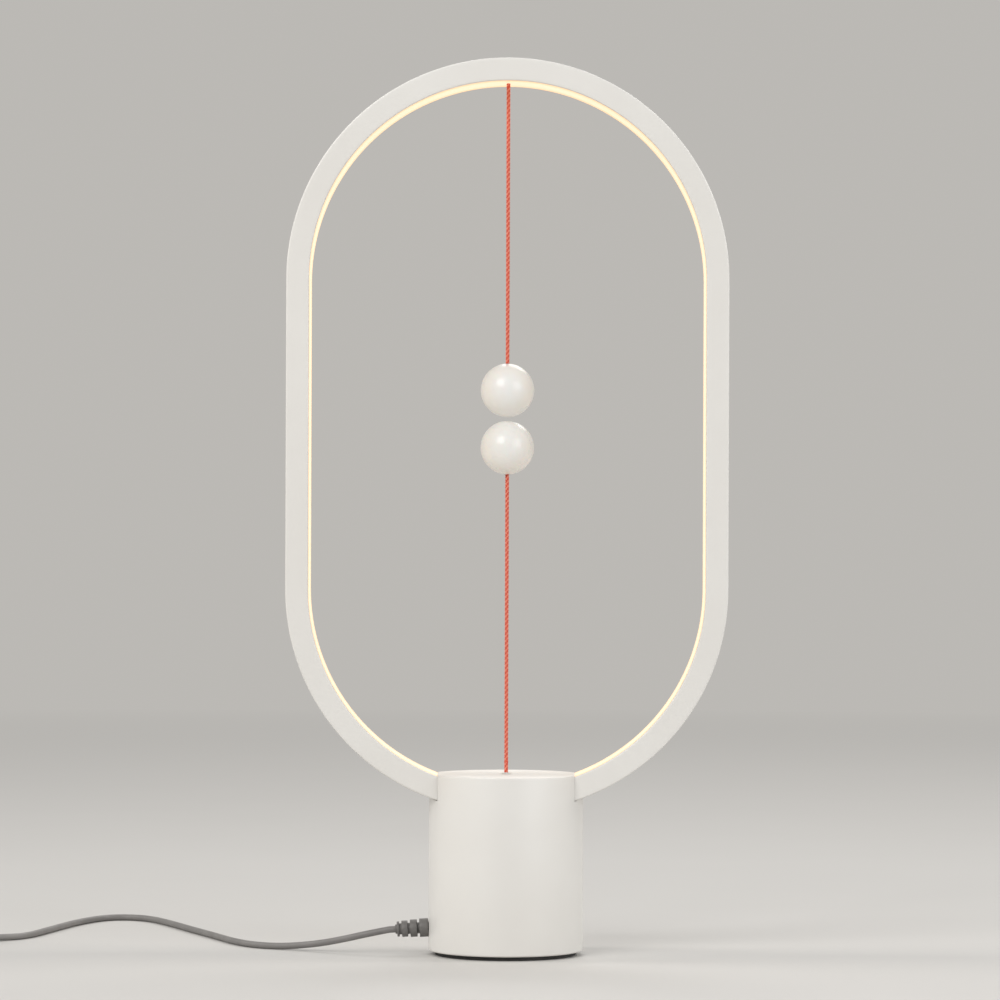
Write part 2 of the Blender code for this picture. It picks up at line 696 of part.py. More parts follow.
# A round plate with two saddles for the ring, a guide for the plunger, legs to the cover and posts for the board
def inner_frame():
    frame = rod("inner_frame", INNER_RADIUS, PLATE_UNDERSIDE, SADDLE_TOP, FRAME_PAINT, TURN_SIDES)
    combine(frame, saddle_cutters())
    inside_plate = (PLATE_TOP + PLATE_UNDERSIDE) / 2
    added = [helper_rod("guide_tube", GUIDE_RADIUS, GUIDE_END, GUIDE_TOP, sides=BALL_SIDES)]
    added += [helper_rod("leg", LEG_RADIUS, FLOOR_LEVEL, inside_plate, place) for place in leg_places()]
    added += [helper_rod("post", POST_RADIUS, BOARD_TOP + GAP, inside_plate, place) for place in post_places()]
    combine(frame, added, "UNION")
    combine(frame, frame_bores())


def bottom_cover():
    cover = rod("bottom_cover", INNER_RADIUS, COVER_UNDERSIDE, COVER_TOP, FRAME_PAINT, TURN_SIDES)
    seat = COVER_UNDERSIDE + SCREW_HEAD + GAP
    holes = []
    for place in leg_places():
        hole = stepped_cutter("cover_hole", COVER_UNDERSIDE - OVERRUN, seat, COVER_TOP + OVERRUN)
        hole.location = (*place, 0)
        holes.append(hole)
    combine(cover, holes)


def foot_pad():
    radius = BASE_RADIUS - FOOT_RECESS
    outline = ((0, 0), (radius - GAP, 0), (radius, GAP), (radius, FOOT_HEIGHT), (0, FOOT_HEIGHT))
    turned("foot_pad", outline, FOOT_PAINT)


def ballast_weight():
    outline = (
        (0, FLOOR_LEVEL),
        (BALLAST_RADIUS, FLOOR_LEVEL),
        (BALLAST_RADIUS, BALLAST_TOP - BASE_EDGE),
        (BALLAST_RADIUS - BASE_EDGE, BALLAST_TOP),
        (0, BALLAST_TOP),
    )
    weight = turned("ballast_weight", outline, CAST_PAINT)
    size = (2 * BALLAST_SLOT_REACH, BALLAST_SLOT_WIDTH, BALLAST_TOP - FLOOR_LEVEL + 2 * OVERRUN)
    place = (-BALLAST_RADIUS, 0, (BALLAST_TOP + FLOOR_LEVEL) / 2)
    combine(weight, [box("ballast_slot", size, place, FRAME_PAINT)])


def build_base():
    base_housing()
    top_cap()
    string_eyelet()
    inner_frame()
    bottom_cover()
    foot_pad()
    ballast_weight()
    for number, place in enumerate(leg_places(), 1):
        cover_screw = screw(f"cover_screw_{number}", COVER_SCREW_LENGTH)
        cover_screw.location = (*place, COVER_UNDERSIDE + SCREW_HEAD)


# Switch


def main_board():
    size = (BOARD_LENGTH, BOARD_WIDTH, BOARD_THICKNESS)
    board = box("main_board", size, (0, 0, BOARD_TOP - BOARD_THICKNESS / 2), BOARD_PAINT)
    low = BOARD_UNDERSIDE - OVERRUN
    combine(board, [helper_rod("board_hole", SCREW_HOLE, low, BOARD_TOP + OVERRUN, place) for place in post_places()])
    for name, place in zip(("left", "right"), post_places()):
        board_screw = screw(f"board_screw_{name}", BOARD_SCREW_LENGTH)
        board_screw.location = (*place, BOARD_UNDERSIDE - GAP)


def board_place(shares):
    return shares[0] * BOARD_LENGTH, shares[1] * BOARD_WIDTH


def board_parts():
    bottom = BOARD_TOP + GAP
    box("driver_chip", CHIP_SIZE, (*board_place(CHIP_PLACE_SHARES), bottom + CHIP_SIZE[2] / 2), BLACK_PAINT)
    socket_place = (WIRE_HOLE_X, WIRE_HOLE_Y, bottom + LED_SOCKET_SIZE[2] / 2)
    box("led_socket", LED_SOCKET_SIZE, socket_place, CAP_PAINT)
    capacitor = rod("capacitor", CAPACITOR_RADIUS, bottom, bottom + CAPACITOR_HEIGHT, BLACK_PAINT)
    capacitor.location = (*board_place(CAPACITOR_PLACE_SHARES), 0)
    power_place = (POWER_SOCKET_X, 0, POWER_SOCKET_END + POWER_SOCKET_SIZE[2] / 2)
    box("power_socket", POWER_SOCKET_SIZE, power_place, CAP_PAINT)


def across(name, radius, half_width, place, material):
    pin = rod(name, radius, -half_width, half_width, material)
    pin.location = place
    pin.rotation_euler = (math.pi / 2, 0, 0)
    return pin


def micro_switch():
    pivot = (PIVOT_ARM, 0, PIVOT_Z)
    centre_x = PIVOT_ARM + PIVOT_INSET - SWITCH_LENGTH / 2
    size = (SWITCH_LENGTH, SWITCH_WIDTH, SWITCH_HEIGHT)
    body = box("micro_switch_body", size, (centre_x, 0, SWITCH_TOP - SWITCH_HEIGHT / 2), BLACK_PAINT)
    ear_height = PIVOT_RISE + LEVER_BARREL
    ear_size = (2 * EAR_HALF, EAR_THICKNESS, ear_height + OVERRUN)
    ears = []
    for side in (-1, 1):
        ear_y = side * ((SWITCH_WIDTH - EAR_THICKNESS) / 2 - MERGE)
        ear_place = (PIVOT_ARM, ear_y, SWITCH_TOP + (ear_height - OVERRUN) / 2)
        ears.append(box("switch_ear", ear_size, ear_place, BLACK_PAINT))
    combine(body, ears, "UNION")
    pin_hole = across("pin_hole", PIVOT_PIN_RADIUS + GAP, SWITCH_WIDTH, pivot, BLACK_PAINT)
    depth = BUTTON_DEPTH + BUTTON_ARM / PIVOT_ARM * PLUNGER_TRAVEL + GAP
    hole_place = (PIVOT_ARM - BUTTON_ARM, 0)
    button_hole = helper_rod("button_hole", BUTTON_RADIUS + GAP, SWITCH_TOP - depth, SWITCH_TOP + OVERRUN, hole_place)
    combine(body, [pin_hole, button_hole])
    across("switch_lever_pin", PIVOT_PIN_RADIUS, SWITCH_WIDTH / 2, pivot, STEEL_PAINT)


# The lever lies along -X from its pivot and is turned up by its tilt, so that its end just clears the plunger.
def switch_lever():
    width = SWITCH_WIDTH - 2 * EAR_THICKNESS - 2 * GAP
    reach = LEVER_REACH + LEVER_BARREL / 2
    size = (reach, width, LEVER_THICKNESS)
    place = (-LEVER_BARREL / 2 - reach / 2, 0, 0)
    lever = across("switch_lever", LEVER_BARREL, width / 2, (0, 0, 0), STEEL_PAINT)
    lever.data.transform(Matrix.Rotation(math.pi / 2, 4, "X"))
    lever.rotation_euler = (0, LEVER_TILT, 0)
    lever.location = (PIVOT_ARM, 0, PIVOT_Z)
    arm = box("lever_arm", size, (0, 0, 0), STEEL_PAINT)
    arm.data.transform(Matrix.Translation(place))
    bore = across("lever_bore", PIVOT_PIN_RADIUS + GAP, SWITCH_WIDTH, (0, 0, 0), STEEL_PAINT)
    bore.data.transform(Matrix.Rotation(math.pi / 2, 4, "X"))
    for helper, operation in ((arm, "UNION"), (bore, "DIFFERENCE")):
        helper.location = lever.location
        helper.rotation_euler = lever.rotation_euler
        combine(lever, [helper], operation)


def switch_button():
    lever_low = (BUTTON_ARM - BUTTON_RADIUS) * math.tan(LEVER_TILT) - LEVER_THICKNESS / 2
    top = PIVOT_Z + lever_low - GAP
    button = rod("switch_button", BUTTON_RADIUS, SWITCH_TOP - BUTTON_DEPTH, top, RED_PAINT)
    button.location = (PIVOT_ARM - BUTTON_ARM, 0, 0)
    hang(pivot_empty("switch_button_axis", (PIVOT_ARM - BUTTON_ARM, 0, SWITCH_TOP)), button)


def string_plunger():
    bore = PLUNGER_RADIUS - PLUNGER_WALL
    ceiling = PLUNGER_TOP - PLUNGER_TOP_WALL
    outline = (
        (STRING_HOLE, PLUNGER_TOP),
        (STRING_HOLE, ceiling),
        (bore, ceiling),
        (bore, PLUNGER_END),
        (PLUNGER_RADIUS, PLUNGER_END),
        (PLUNGER_RADIUS, PLUNGER_TOP),
    )
    return turned("string_plunger", outline, CAP_PAINT, BALL_SIDES)


# The return spring presses the plunger down. It is squeezed between the guide's top and the plunger.
def plunger_spring():
    low = PLUNGER_TOP + GAP + SPRING_WIRE
    high = GUIDE_SHOULDER - GAP - SPRING_WIRE
    points = []
    for turn in np.linspace(0, SPRING_TURNS, SPRING_TURNS * SPRING_POINTS + 1):
        angle = turn * math.tau
        height = low + (high - low) * turn / SPRING_TURNS
        points.append((SPRING_RADIUS * math.cos(angle), SPRING_RADIUS * math.sin(angle), height))
    tube("plunger_spring", points, SPRING_WIRE, STEEL_PAINT, resolution=1)


def build_switch():
    main_board()
    board_parts()
    micro_switch()
    switch_lever()
    switch_button()
    plunger_spring()


# Strings and balls


def sphere_outline(radius, start, end, steps):
    angles = np.linspace(start, end, steps + 1)
    return [(radius * math.sin(angle), radius * math.cos(angle)) for angle in angles]


def small_ball(name, radius, place, material):
    outline = sphere_outline(radius, 0, math.pi, KNOT_STEPS)
    outline[0] = (0, radius)
    outline[-1] = (0, -radius)
    piece = turned(name, outline, material, SMALL_SIDES)
    piece.location = place
    return piece


# string_side is +1 where the string leaves the ball upwards. The magnet lies at the other end of the bore.
def ball(name, centre, string_side):
    mouth = math.asin(BALL_BORE / BALL_RADIUS)
    floor = BALL_FLOOR - BALL_RADIUS
    outline = sphere_outline(BALL_RADIUS, mouth, math.pi, BALL_STEPS)
    outline[-1] = (0, -BALL_RADIUS)
    outline = [(0, floor), (BALL_BORE, floor), *outline]
    shell = turned(name, outline, BALL_PAINT, BALL_SIDES)
    plug_radius = BALL_BORE - GAP
    plug_low = BALL_RADIUS - PLUG_DEPTH
    crown_start = math.asin(STRING_HOLE / BALL_RADIUS)
    crown = sphere_outline(BALL_RADIUS, crown_start, math.asin(plug_radius / BALL_RADIUS), CROWN_STEPS)
    plug = turned(
        f"{name}_plug", [(STRING_HOLE, plug_low), *crown, (plug_radius, plug_low)], BALL_PAINT, BALL_SIDES
    )
    magnet_low = floor + GAP
    magnet = rod(f"{name}_magnet", plug_radius, magnet_low, magnet_low + MAGNET_HEIGHT, MAGNET_PAINT, BALL_SIDES)
    for piece in (shell, plug, magnet):
        piece.location = centre
        if string_side < 0:
            piece.rotation_euler = (math.pi, 0, 0)
    knot_place = centre + Vector((0, 0, string_side * (plug_low - GAP - KNOT_RADIUS)))
    knot = small_ball(f"{name}_knot", KNOT_RADIUS, knot_place, STRING_PAINT)
    return shell, plug, magnet, knot


def string(name, low, high):
    return rod(name, STRING_RADIUS, low, high, STRING_PAINT)


def knot_face(centre, string_side):
    return centre.z + string_side * (BALL_RADIUS - PLUG_DEPTH)


# The upper string swings from its bend just under the ring's inner face.
def build_upper_string():
    bend = small_ball("upper_string_bend", BEND_RADIUS, UPPER_PIVOT, STRING_PAINT)
    top = UPPER_PIVOT.z - BEND_RADIUS - GAP
    run = string("upper_string", knot_face(UPPER_BALL, 1), top)
    pieces = ball("upper_ball", UPPER_BALL, 1)
    hang(pivot_empty("upper_pivot", UPPER_PIVOT), bend, run, *pieces)


# The lower string rises from the plunger's knot through the eyelet. It bends just above the eyelet, and again
# where it would lie over the base's rim.
def build_lower_string():
    plunger = string_plunger()
    ceiling = PLUNGER_TOP - PLUNGER_TOP_WALL
    knot = small_ball("plunger_knot", KNOT_RADIUS, Vector((0, 0, ceiling - GAP - KNOT_RADIUS)), STRING_PAINT)
    reach = BEND_RADIUS + GAP
    tail = string("lower_string_tail", ceiling, LOWER_PIVOT.z - reach)
    hang(pivot_empty("plunger_axis", (0, 0, PLUNGER_TOP)), plunger, knot, tail)
    bend = small_ball("lower_string_low_bend", BEND_RADIUS, LOWER_PIVOT, STRING_PAINT)
    run = string("lower_string_low", LOWER_PIVOT.z + reach, LOWER_BEND.z - reach)
    hang(pivot_empty("lower_pivot", LOWER_PIVOT), bend, run)
    high_bend = small_ball("lower_string_high_bend", BEND_RADIUS, LOWER_BEND, STRING_PAINT)
    high_run = string("lower_string_high", LOWER_BEND.z + reach, knot_face(LOWER_BALL, -1))
    pieces = ball("lower_ball", LOWER_BALL, -1)
    hang(pivot_empty("lower_high_pivot", LOWER_BEND), high_bend, high_run, *pieces)


# Power cord


def shifted(start, towards, reach):
    return start + (towards - start).normalized() * reach


def relief_direction():
    droop = math.radians(RELIEF_DROOP_DEGREES)
    return Vector((-math.cos(droop), 0, -math.sin(droop)))


def relief_point(reach):
    return Vector((-BASE_RADIUS, 0, RELIEF_HEIGHT)) + relief_direction() * reach


# Puts a solid of revolution on the strain relief's axis, its own Z axis pointing out of the base
def on_relief(piece):
    piece.location = relief_point(0)
    piece.rotation_euler = relief_direction().to_track_quat("Z", "Y").to_euler()
    return piece


def relief_rod(name, radius, inwards, outwards):
    return on_relief(rod(name, radius, -inwards, outwards, FRAME_PAINT))


def relief_reach():
    return GAP + sum(RELIEF_RIB_LENGTHS) + RELIEF_RIB_GAP * (len(RELIEF_RIB_LENGTHS) - 1)


def relief_inside():
    return GAP - RELIEF_NECK - RELIEF_FLANGE


def strain_relief():
    outline = [(0, relief_inside())]
    outline += [(RELIEF_RADIUS, relief_inside()), (RELIEF_RADIUS, GAP - RELIEF_NECK), (RELIEF_CORE, GAP - RELIEF_NECK)]
    radii = np.linspace(RELIEF_RADIUS, RELIEF_END_RADIUS, len(RELIEF_RIB_LENGTHS))
    start = GAP
    for radius, rib in zip(radii, RELIEF_RIB_LENGTHS):
        outline += [(RELIEF_CORE, start), (float(radius), start), (float(radius), start + rib), (RELIEF_CORE, start + rib)]
        start += rib + RELIEF_RIB_GAP
    outline[-1:] = [(0, relief_reach())]
    on_relief(turned("strain_relief", outline, CORD_PAINT, SMALL_SIDES))


def inner_cord():
    start = relief_point(relief_inside() - GAP)
    straight = relief_point(relief_inside() - GAP - 2 * CORD_RADIUS)
    end = Vector((POWER_SOCKET_X, 0, POWER_SOCKET_END - GAP))
    below = end - Vector((0, 0, 2 * CORD_RADIUS))
    corner = Vector((straight.x + 2 * CORD_RADIUS, 0, (straight.z + end.z) / 2))
    route = (straight, (straight + corner) / 2 + Vector((CORD_RADIUS, 0, -CORD_RADIUS)), corner, below)
    points = [start, *smooth_route(route, 2 * CORD_RADIUS), end]
    tube("inner_cord", points, CORD_RADIUS, CORD_PAINT)


def wire(name, offset):
    inner = STRIP_OUTER - STRIP_THICKNESS - 2 * GAP - WIRE_RADIUS
    y = WIRE_HOLE_Y + offset
    route = []
    for degrees, radius, depth in (
        (STRIP_END_DEGREES, inner, STRIP_WIDTH / 4 + offset),
        (BLOCK_END_DEGREES, inner - WIRE_RADIUS, y),
        (BLOCK_START_DEGREES, inner - WIRE_RADIUS, y),
    ):
        angle = math.radians(degrees)
        route.append(Vector((radius * math.sin(angle), depth, RING_LOW_Z - radius * math.cos(angle))))
    route.append(Vector((WIRE_HOLE_X + WIRE_RADIUS, y, (PLATE_TOP + RING_LOW_Z - RING_RADIUS) / 2)))
    route.append(Vector((WIRE_HOLE_X, y, PLATE_UNDERSIDE)))
    route.append(Vector((WIRE_HOLE_X, y, (PLATE_UNDERSIDE + BOARD_TOP) / 2)))
    route.append(Vector((WIRE_HOLE_X, y, BOARD_TOP + 2 * GAP + LED_SOCKET_SIZE[2])))
    tube(name, smooth_route(route, WIRE_STEP), WIRE_RADIUS, WIRE_PAINT, resolution=1)


# The layers spiral in and out by turns at a steady rate, and climb in the half turn where the spiral reverses.
# The lowest one lies on the tie.
def coil_point(turn):
    inward = COIL_LAYER_TURNS - abs(turn % (2 * COIL_LAYER_TURNS) - COIL_LAYER_TURNS)
    radius = COIL_RADIUS - COIL_PITCH * inward
    climbs = [(turn - layer * COIL_LAYER_TURNS) * 2 + 0.5 for layer in range(1, COIL_LAYERS)]
    climbed = sum(min(max(climb, 0), 1) for climb in climbs)
    height = TIE_THICKNESS + GAP + CORD_RADIUS + COIL_LAYER_RISE * climbed
    angle = math.radians(COIL_START_DEGREES) - turn * math.tau
    return Vector((COIL_CENTRE[0] + radius * math.cos(angle), COIL_CENTRE[1] + radius * math.sin(angle), height))


# Points read closely along straight runs between the given ones, and each one's place in their order
def closely(points):
    places = np.array(points)
    shares = np.linspace(0, 1, CLOSE_STEPS, endpoint=False)
    dense = np.concatenate([places[:-1] + (places[1:] - places[:-1]) * share for share in shares])
    return dense, np.concatenate([np.arange(len(places) - 1) + share for share in shares])


def least_gap(points, radius, apart):
    dense, order = closely(points)
    least = math.inf
    for place, number in zip(dense, order):
        far = np.abs(order - number) > apart
        least = min(least, float(np.linalg.norm(dense[far] - place, axis=1).min()))
    return least - 2 * radius


def cord_coil():
    turns = COIL_LAYERS * COIL_LAYER_TURNS
    points = [coil_point(turn) for turn in np.linspace(0, turns, round(turns * COIL_POINTS) + 1)]
    first = shifted(points[0], 2 * points[0] - points[1], 2 * CORD_RADIUS)
    last = shifted(points[-1], 2 * points[-1] - points[-2], 2 * CORD_RADIUS)
    points = [first, *points, last]
    tube("cord_coil", points, CORD_RADIUS, CORD_PAINT, resolution=1)
    least = least_gap(points, CORD_RADIUS, COIL_POINTS / 2)
    print(f"coil: {length_of(points) * 1000:.0f} mm, least gap {least * 1000:.2f} mm")
    return points


# A strap round the coil's loops, a quarter turn on from where the cord comes in
def coil_tie(coil):
    angle = math.radians(COIL_START_DEGREES) - math.pi / 2
    outwards = np.array((math.cos(angle), math.sin(angle)))
    sideways = np.array((-outwards[1], outwards[0]))
    dense, _ = closely(coil)
    flat = dense[:, :2] - np.array(COIL_CENTRE)
    reach = flat @ outwards
    held = reach[(np.abs(flat @ sideways) < TIE_WIDTH / 2 + CORD_RADIUS) & (reach > 0)]
    inner = held.min() - CORD_RADIUS - GAP
    outer = held.max() + CORD_RADIUS + GAP
    height = 2 * CORD_RADIUS + (COIL_LAYERS - 1) * COIL_LAYER_RISE + 2 * GAP
    middle = np.array(COIL_CENTRE) + outwards * (inner + outer) / 2
    place = (*middle, TIE_THICKNESS + height / 2)
    size = (outer - inner + 2 * TIE_THICKNESS, TIE_WIDTH, height + 2 * TIE_THICKNESS)
    strap = box("coil_tie", size, place, TIE_PAINT, TIE_EDGE)
    hollow = box("coil_tie_hollow", (outer - inner, TIE_WIDTH + OVERRUN, height), place, TIE_PAINT)
    for piece in (strap, hollow):
        piece.rotation_euler = (0, 0, angle)
    combine(strap, [hollow])


def usb_plug(start, heading):
    along = Vector((heading.x, heading.y, 0)).normalized()
    turn = math.atan2(along.y, along.x)
    length, _, height = PLUG_BODY
    pieces = []
    middle = start + along * (GAP + length / 2)
    middle.z = height / 2
    pieces.append(box("usb_plug_body", PLUG_BODY, middle, CORD_PAINT, PLUG_BODY_EDGE))
    face = middle + along * (length / 2)
    shell_middle = face + along * (GAP + PLUG_SHELL[0] / 2)
    shell = box("usb_plug_shell", PLUG_SHELL, shell_middle, STEEL_PAINT)
    hollow_size = [side - 2 * PLUG_SHELL_WALL for side in PLUG_SHELL[1:]]
    hollow = box("usb_plug_hollow", (PLUG_SHELL[0] + 2 * OVERRUN, *hollow_size), shell_middle, STEEL_PAINT)
    tongue_drop = Vector((0, 0, hollow_size[1] / 2 - GAP - PLUG_TONGUE[2] / 2))
    tongue_middle = face + along * (GAP + PLUG_TONGUE[0] / 2) + tongue_drop
    tongue = box("usb_plug_tongue", PLUG_TONGUE, tongue_middle, BLACK_PAINT)
    for piece in (*pieces, shell, hollow, tongue):
        piece.rotation_euler = (0, 0, turn)
    combine(shell, [hollow])


def build_cord():
    strain_relief()
    inner_cord()
    for name, offset in (("led_wire_positive", -WIRE_OFFSET), ("led_wire_negative", WIRE_OFFSET)):
        wire(name, offset)
    coil = cord_coil()
    coil_tie(coil)
    start = relief_point(relief_reach() + GAP)
    straight = relief_point(relief_reach() + GAP + 2 * CORD_RADIUS)
    end = shifted(coil[0], coil[0] * 2 - coil[1], GAP)
    before = shifted(end, end * 2 - coil[1], 2 * CORD_RADIUS)
    cord = [start, *smooth_route((straight, *CORD_ROUTE, before), CORD_STEP), end]
    tube("power_cord", cord, CORD_RADIUS, CORD_PAINT)
    tail_start = shifted(coil[-1], coil[-1] * 2 - coil[-2], GAP)
    tail_straight = shifted(tail_start, tail_start * 2 - coil[-2], 2 * CORD_RADIUS)
    tail = [tail_start, *smooth_route((tail_straight, *PLUG_ROUTE), CORD_STEP)]
    tail.append(shifted(tail[-1], tail[-1] * 2 - tail[-2], 2 * CORD_RADIUS))
    tube("plug_cord", tail, CORD_RADIUS, CORD_PAINT)
    usb_plug(tail[-1], tail[-1] - tail[-2])
    total = length_of(cord) + length_of(coil) + length_of(tail)
    print(f"cord: {length_of(cord) * 1000:.0f} mm laid out, {total * 1000:.0f} mm in all")


build_ring()
build_base()
build_switch()
build_upper_string()
build_lower_string()
build_cord()
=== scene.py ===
from math import cos, pi, radians, sin, sqrt, tau

import bmesh
import bpy
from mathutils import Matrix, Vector


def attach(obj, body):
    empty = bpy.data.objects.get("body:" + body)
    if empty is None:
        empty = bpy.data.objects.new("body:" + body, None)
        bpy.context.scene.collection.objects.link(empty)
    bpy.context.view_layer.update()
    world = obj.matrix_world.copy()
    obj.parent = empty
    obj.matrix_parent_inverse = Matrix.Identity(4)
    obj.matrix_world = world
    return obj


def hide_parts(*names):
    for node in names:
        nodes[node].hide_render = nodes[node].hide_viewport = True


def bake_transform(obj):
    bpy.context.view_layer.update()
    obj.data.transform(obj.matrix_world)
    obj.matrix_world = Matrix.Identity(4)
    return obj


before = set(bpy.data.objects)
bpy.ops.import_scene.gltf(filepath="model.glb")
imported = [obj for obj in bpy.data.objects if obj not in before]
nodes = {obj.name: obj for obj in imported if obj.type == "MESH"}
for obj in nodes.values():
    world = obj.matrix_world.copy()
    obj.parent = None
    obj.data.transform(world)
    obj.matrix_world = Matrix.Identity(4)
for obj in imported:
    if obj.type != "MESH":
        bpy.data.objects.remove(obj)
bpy.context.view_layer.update()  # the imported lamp, which stays where it is
print("frame loaded:", len(nodes), "nodes")

scene = bpy.context.scene
scene.view_settings.view_transform = "Standard"

# Everything is in metres: +Z up, +X to the right, the viewer on the -Y side, the foot's middle at the origin.


def clearSelection():
    if bpy.context.mode != "OBJECT":
        bpy.ops.object.mode_set(mode="OBJECT")
    bpy.ops.object.select_all(action="DESELECT")


def pick(piece):
    clearSelection()
    piece.select_set(True)
    bpy.context.view_layer.objects.active = piece


# camera

cameraPlace = {
    "distance": 1.950,  # from the ring's middle plane
    "height": 0.1922,
    "lens": 156.7,
    "shiftX": -0.007,
    "shiftY": 0.025,
    "rollDegrees": -0.2,
}

clearSelection()
bpy.ops.object.camera_add(
    location=(0, -cameraPlace["distance"], cameraPlace["height"]),
    rotation=(pi / 2, radians(cameraPlace["rollDegrees"]), 0),
)
camera = bpy.context.object
camera.name = "camera"
camera.data.lens = cameraPlace["lens"]
camera.data.sensor_width = 36
camera.data.shift_x = cameraPlace["shiftX"]
camera.data.shift_y = cameraPlace["shiftY"]
camera.data.clip_end = 30
scene.camera = camera
print("camera set")

# finishes, each with its own grain, roughness and bump


# A value can also be the output of another node.
def addNode(tree, kind, **values):
    node = tree.nodes.new("ShaderNode" + kind)
    for key, value in values.items():
        if isinstance(value, bpy.types.NodeSocket):
            tree.links.new(value, node.inputs[key])
        elif key in node.inputs:
            node.inputs[key].default_value = value
        else:
            setattr(node, key, value)
    return node


def objectPlace(tree, scale=(1, 1, 1), turn=(0, 0, 0)):
    place = addNode(tree, "TexCoord").outputs["Object"]
    return addNode(tree, "Mapping", Vector=place, Scale=scale, Rotation=turn).outputs["Vector"]


def noise(tree, place, scale, detail=3.0, roughness=0.55):
    texture = addNode(tree, "TexNoise", Vector=place, Scale=scale, Detail=detail, Roughness=roughness)
    return texture.outputs["Fac"]


def spread(tree, value, span, reach=(0, 1)):
    node = addNode(tree, "MapRange", Value=value)
    for key, number in zip(("From Min", "From Max", "To Min", "To Max"), (*span, *reach)):
        node.inputs[key].default_value = number
    return node.outputs["Result"]


def blendColours(tree, share, first, second):
    node = addNode(tree, "Mix", data_type="RGBA")
    tree.links.new(share, node.inputs["Factor"])
    for socket, colour in ((node.inputs[6], first), (node.inputs[7], second)):
        if isinstance(colour, tuple):
            socket.default_value = (*colour, 1)
        else:
            tree.links.new(colour, socket)
    return node.outputs[2]


# Most noise values lie within these spans.
narrowSpan = (0.35, 0.65)
wideSpan = (0.3, 0.7)


def colourFrom(tree, shader, share, first, second):
    tree.links.new(blendColours(tree, share, first, second), shader.inputs["Base Color"])


# part says which strength and depth of the look are meant
def bumpFrom(tree, height, shader, look, part):
    size = {"Strength": look[part + "Strength"], "Distance": look[part + "Depth"]}
    bump = addNode(tree, "Bump", Height=height, **size)
    tree.links.new(bump.outputs["Normal"], shader.inputs["Normal"])


def linkAll(tree, values, node):
    for value, socket in zip(values, node.inputs):
        tree.links.new(value, socket)


def calculate(tree, operation, *values, kind="Math"):
    node = addNode(tree, kind, operation=operation)
    linkAll(tree, values, node)
    return node.outputs["Value"]


def mixShaders(tree, output, *values):
    mix = addNode(tree, "MixShader")
    linkAll(tree, values, mix)
    tree.links.new(mix.outputs["Shader"], tree.nodes[output].inputs["Surface"])


def newFinish(name, **sockets):
    material = bpy.data.materials.new(name)
    material.use_nodes = True
    tree = material.node_tree
    shader = tree.nodes["Principled BSDF"]
    for key, value in sockets.items():
        shader.inputs[key.replace("_", " ")].default_value = value
    return material, tree, shader


def dress(piece, material):
    piece.data.materials.clear()
    piece.data.materials.append(material)


# Moulded or coated surfaces: cloudy colour, smudged roughness and a fine grain
def grainedFinish(name, look, **sockets):
    material, tree, shader = newFinish(name, **sockets)
    place = objectPlace(tree)
    clouds = spread(tree, noise(tree, place, look["cloudScale"]), narrowSpan)
    colourFrom(tree, shader, clouds, look["colour"], look["shade"])
    smudges = spread(tree, noise(tree, place, look["smudgeScale"], 4), wideSpan, look["roughness"])
    tree.links.new(smudges, shader.inputs["Roughness"])
    bumpFrom(tree, noise(tree, place, look["grainScale"], 2, 0.6), shader, look, "grain")
    return material


shellLook = {
    "colour": (0.80, 0.78, 0.74),
    "shade": (0.775, 0.752, 0.71),
    "cloudScale": 18,
    "smudgeScale": 60,
    "roughness": (0.3, 0.4),
    "grainScale": 2600,
    "grainStrength": 0.14,
    "grainDepth": 0.0001,
}
capLook = {
    **shellLook,
    "colour": (0.86, 0.84, 0.80),
    "shade": (0.84, 0.815, 0.77),
    "roughness": (0.46, 0.56),
    "grainScale": 1900,
    "grainStrength": 0.2,
}
ballLook = {
    **shellLook,
    "colour": (0.86, 0.85, 0.82),
    "shade": (0.845, 0.83, 0.79),
    "cloudScale": 70,
    "roughness": (0.26, 0.34),
    "grainStrength": 0.07,
}
footLook = {
    "colour": (0.038, 0.037, 0.036),
    "shade": (0.065, 0.062, 0.058),
    "cloudScale": 90,
    "smudgeScale": 300,
    "roughness": (0.72, 0.9),
    "grainScale": 2200,
    "grainStrength": 0.45,
    "grainDepth": 0.0002,
}
cordLook = {
    "colour": (0.22, 0.21, 0.20),
    "shade": (0.185, 0.176, 0.168),
    "cloudScale": 45,
    "smudgeScale": 180,
    "roughness": (0.42, 0.55),
    "grainScale": 1500,
    "grainStrength": 0.18,
    "grainDepth": 0.00012,
}
# The relief keeps the cord's look with a darker colour: painted shade for the ring's shadow that falls on it.
shadedReliefLook = {
    **cordLook,
    "colour": (0.165, 0.157, 0.15),
    "shade": (0.135, 0.128, 0.122),
    "grainStrength": 0.3,
}
frameLook = {
    "colour": (0.30, 0.30, 0.31),
    "shade": (0.26, 0.26, 0.272),
    "cloudScale": 40,
    "smudgeScale": 120,
    "roughness": (0.5, 0.64),
    "grainScale": 1500,
    "grainStrength": 0.3,
    "grainDepth": 0.00015,
}
blackLook = {**frameLook, "colour": (0.03,) * 3, "shade": (0.045, 0.045, 0.044), "roughness": (0.35, 0.5)}
redLook = {
    **frameLook,
    "colour": (0.55, 0.06, 0.04),
    "shade": (0.48, 0.045, 0.032),
    "roughness": (0.25, 0.38),
}
stripLook = {**capLook, "colour": (0.85, 0.85, 0.82), "shade": (0.8, 0.8, 0.77), "roughness": (0.4, 0.55)}

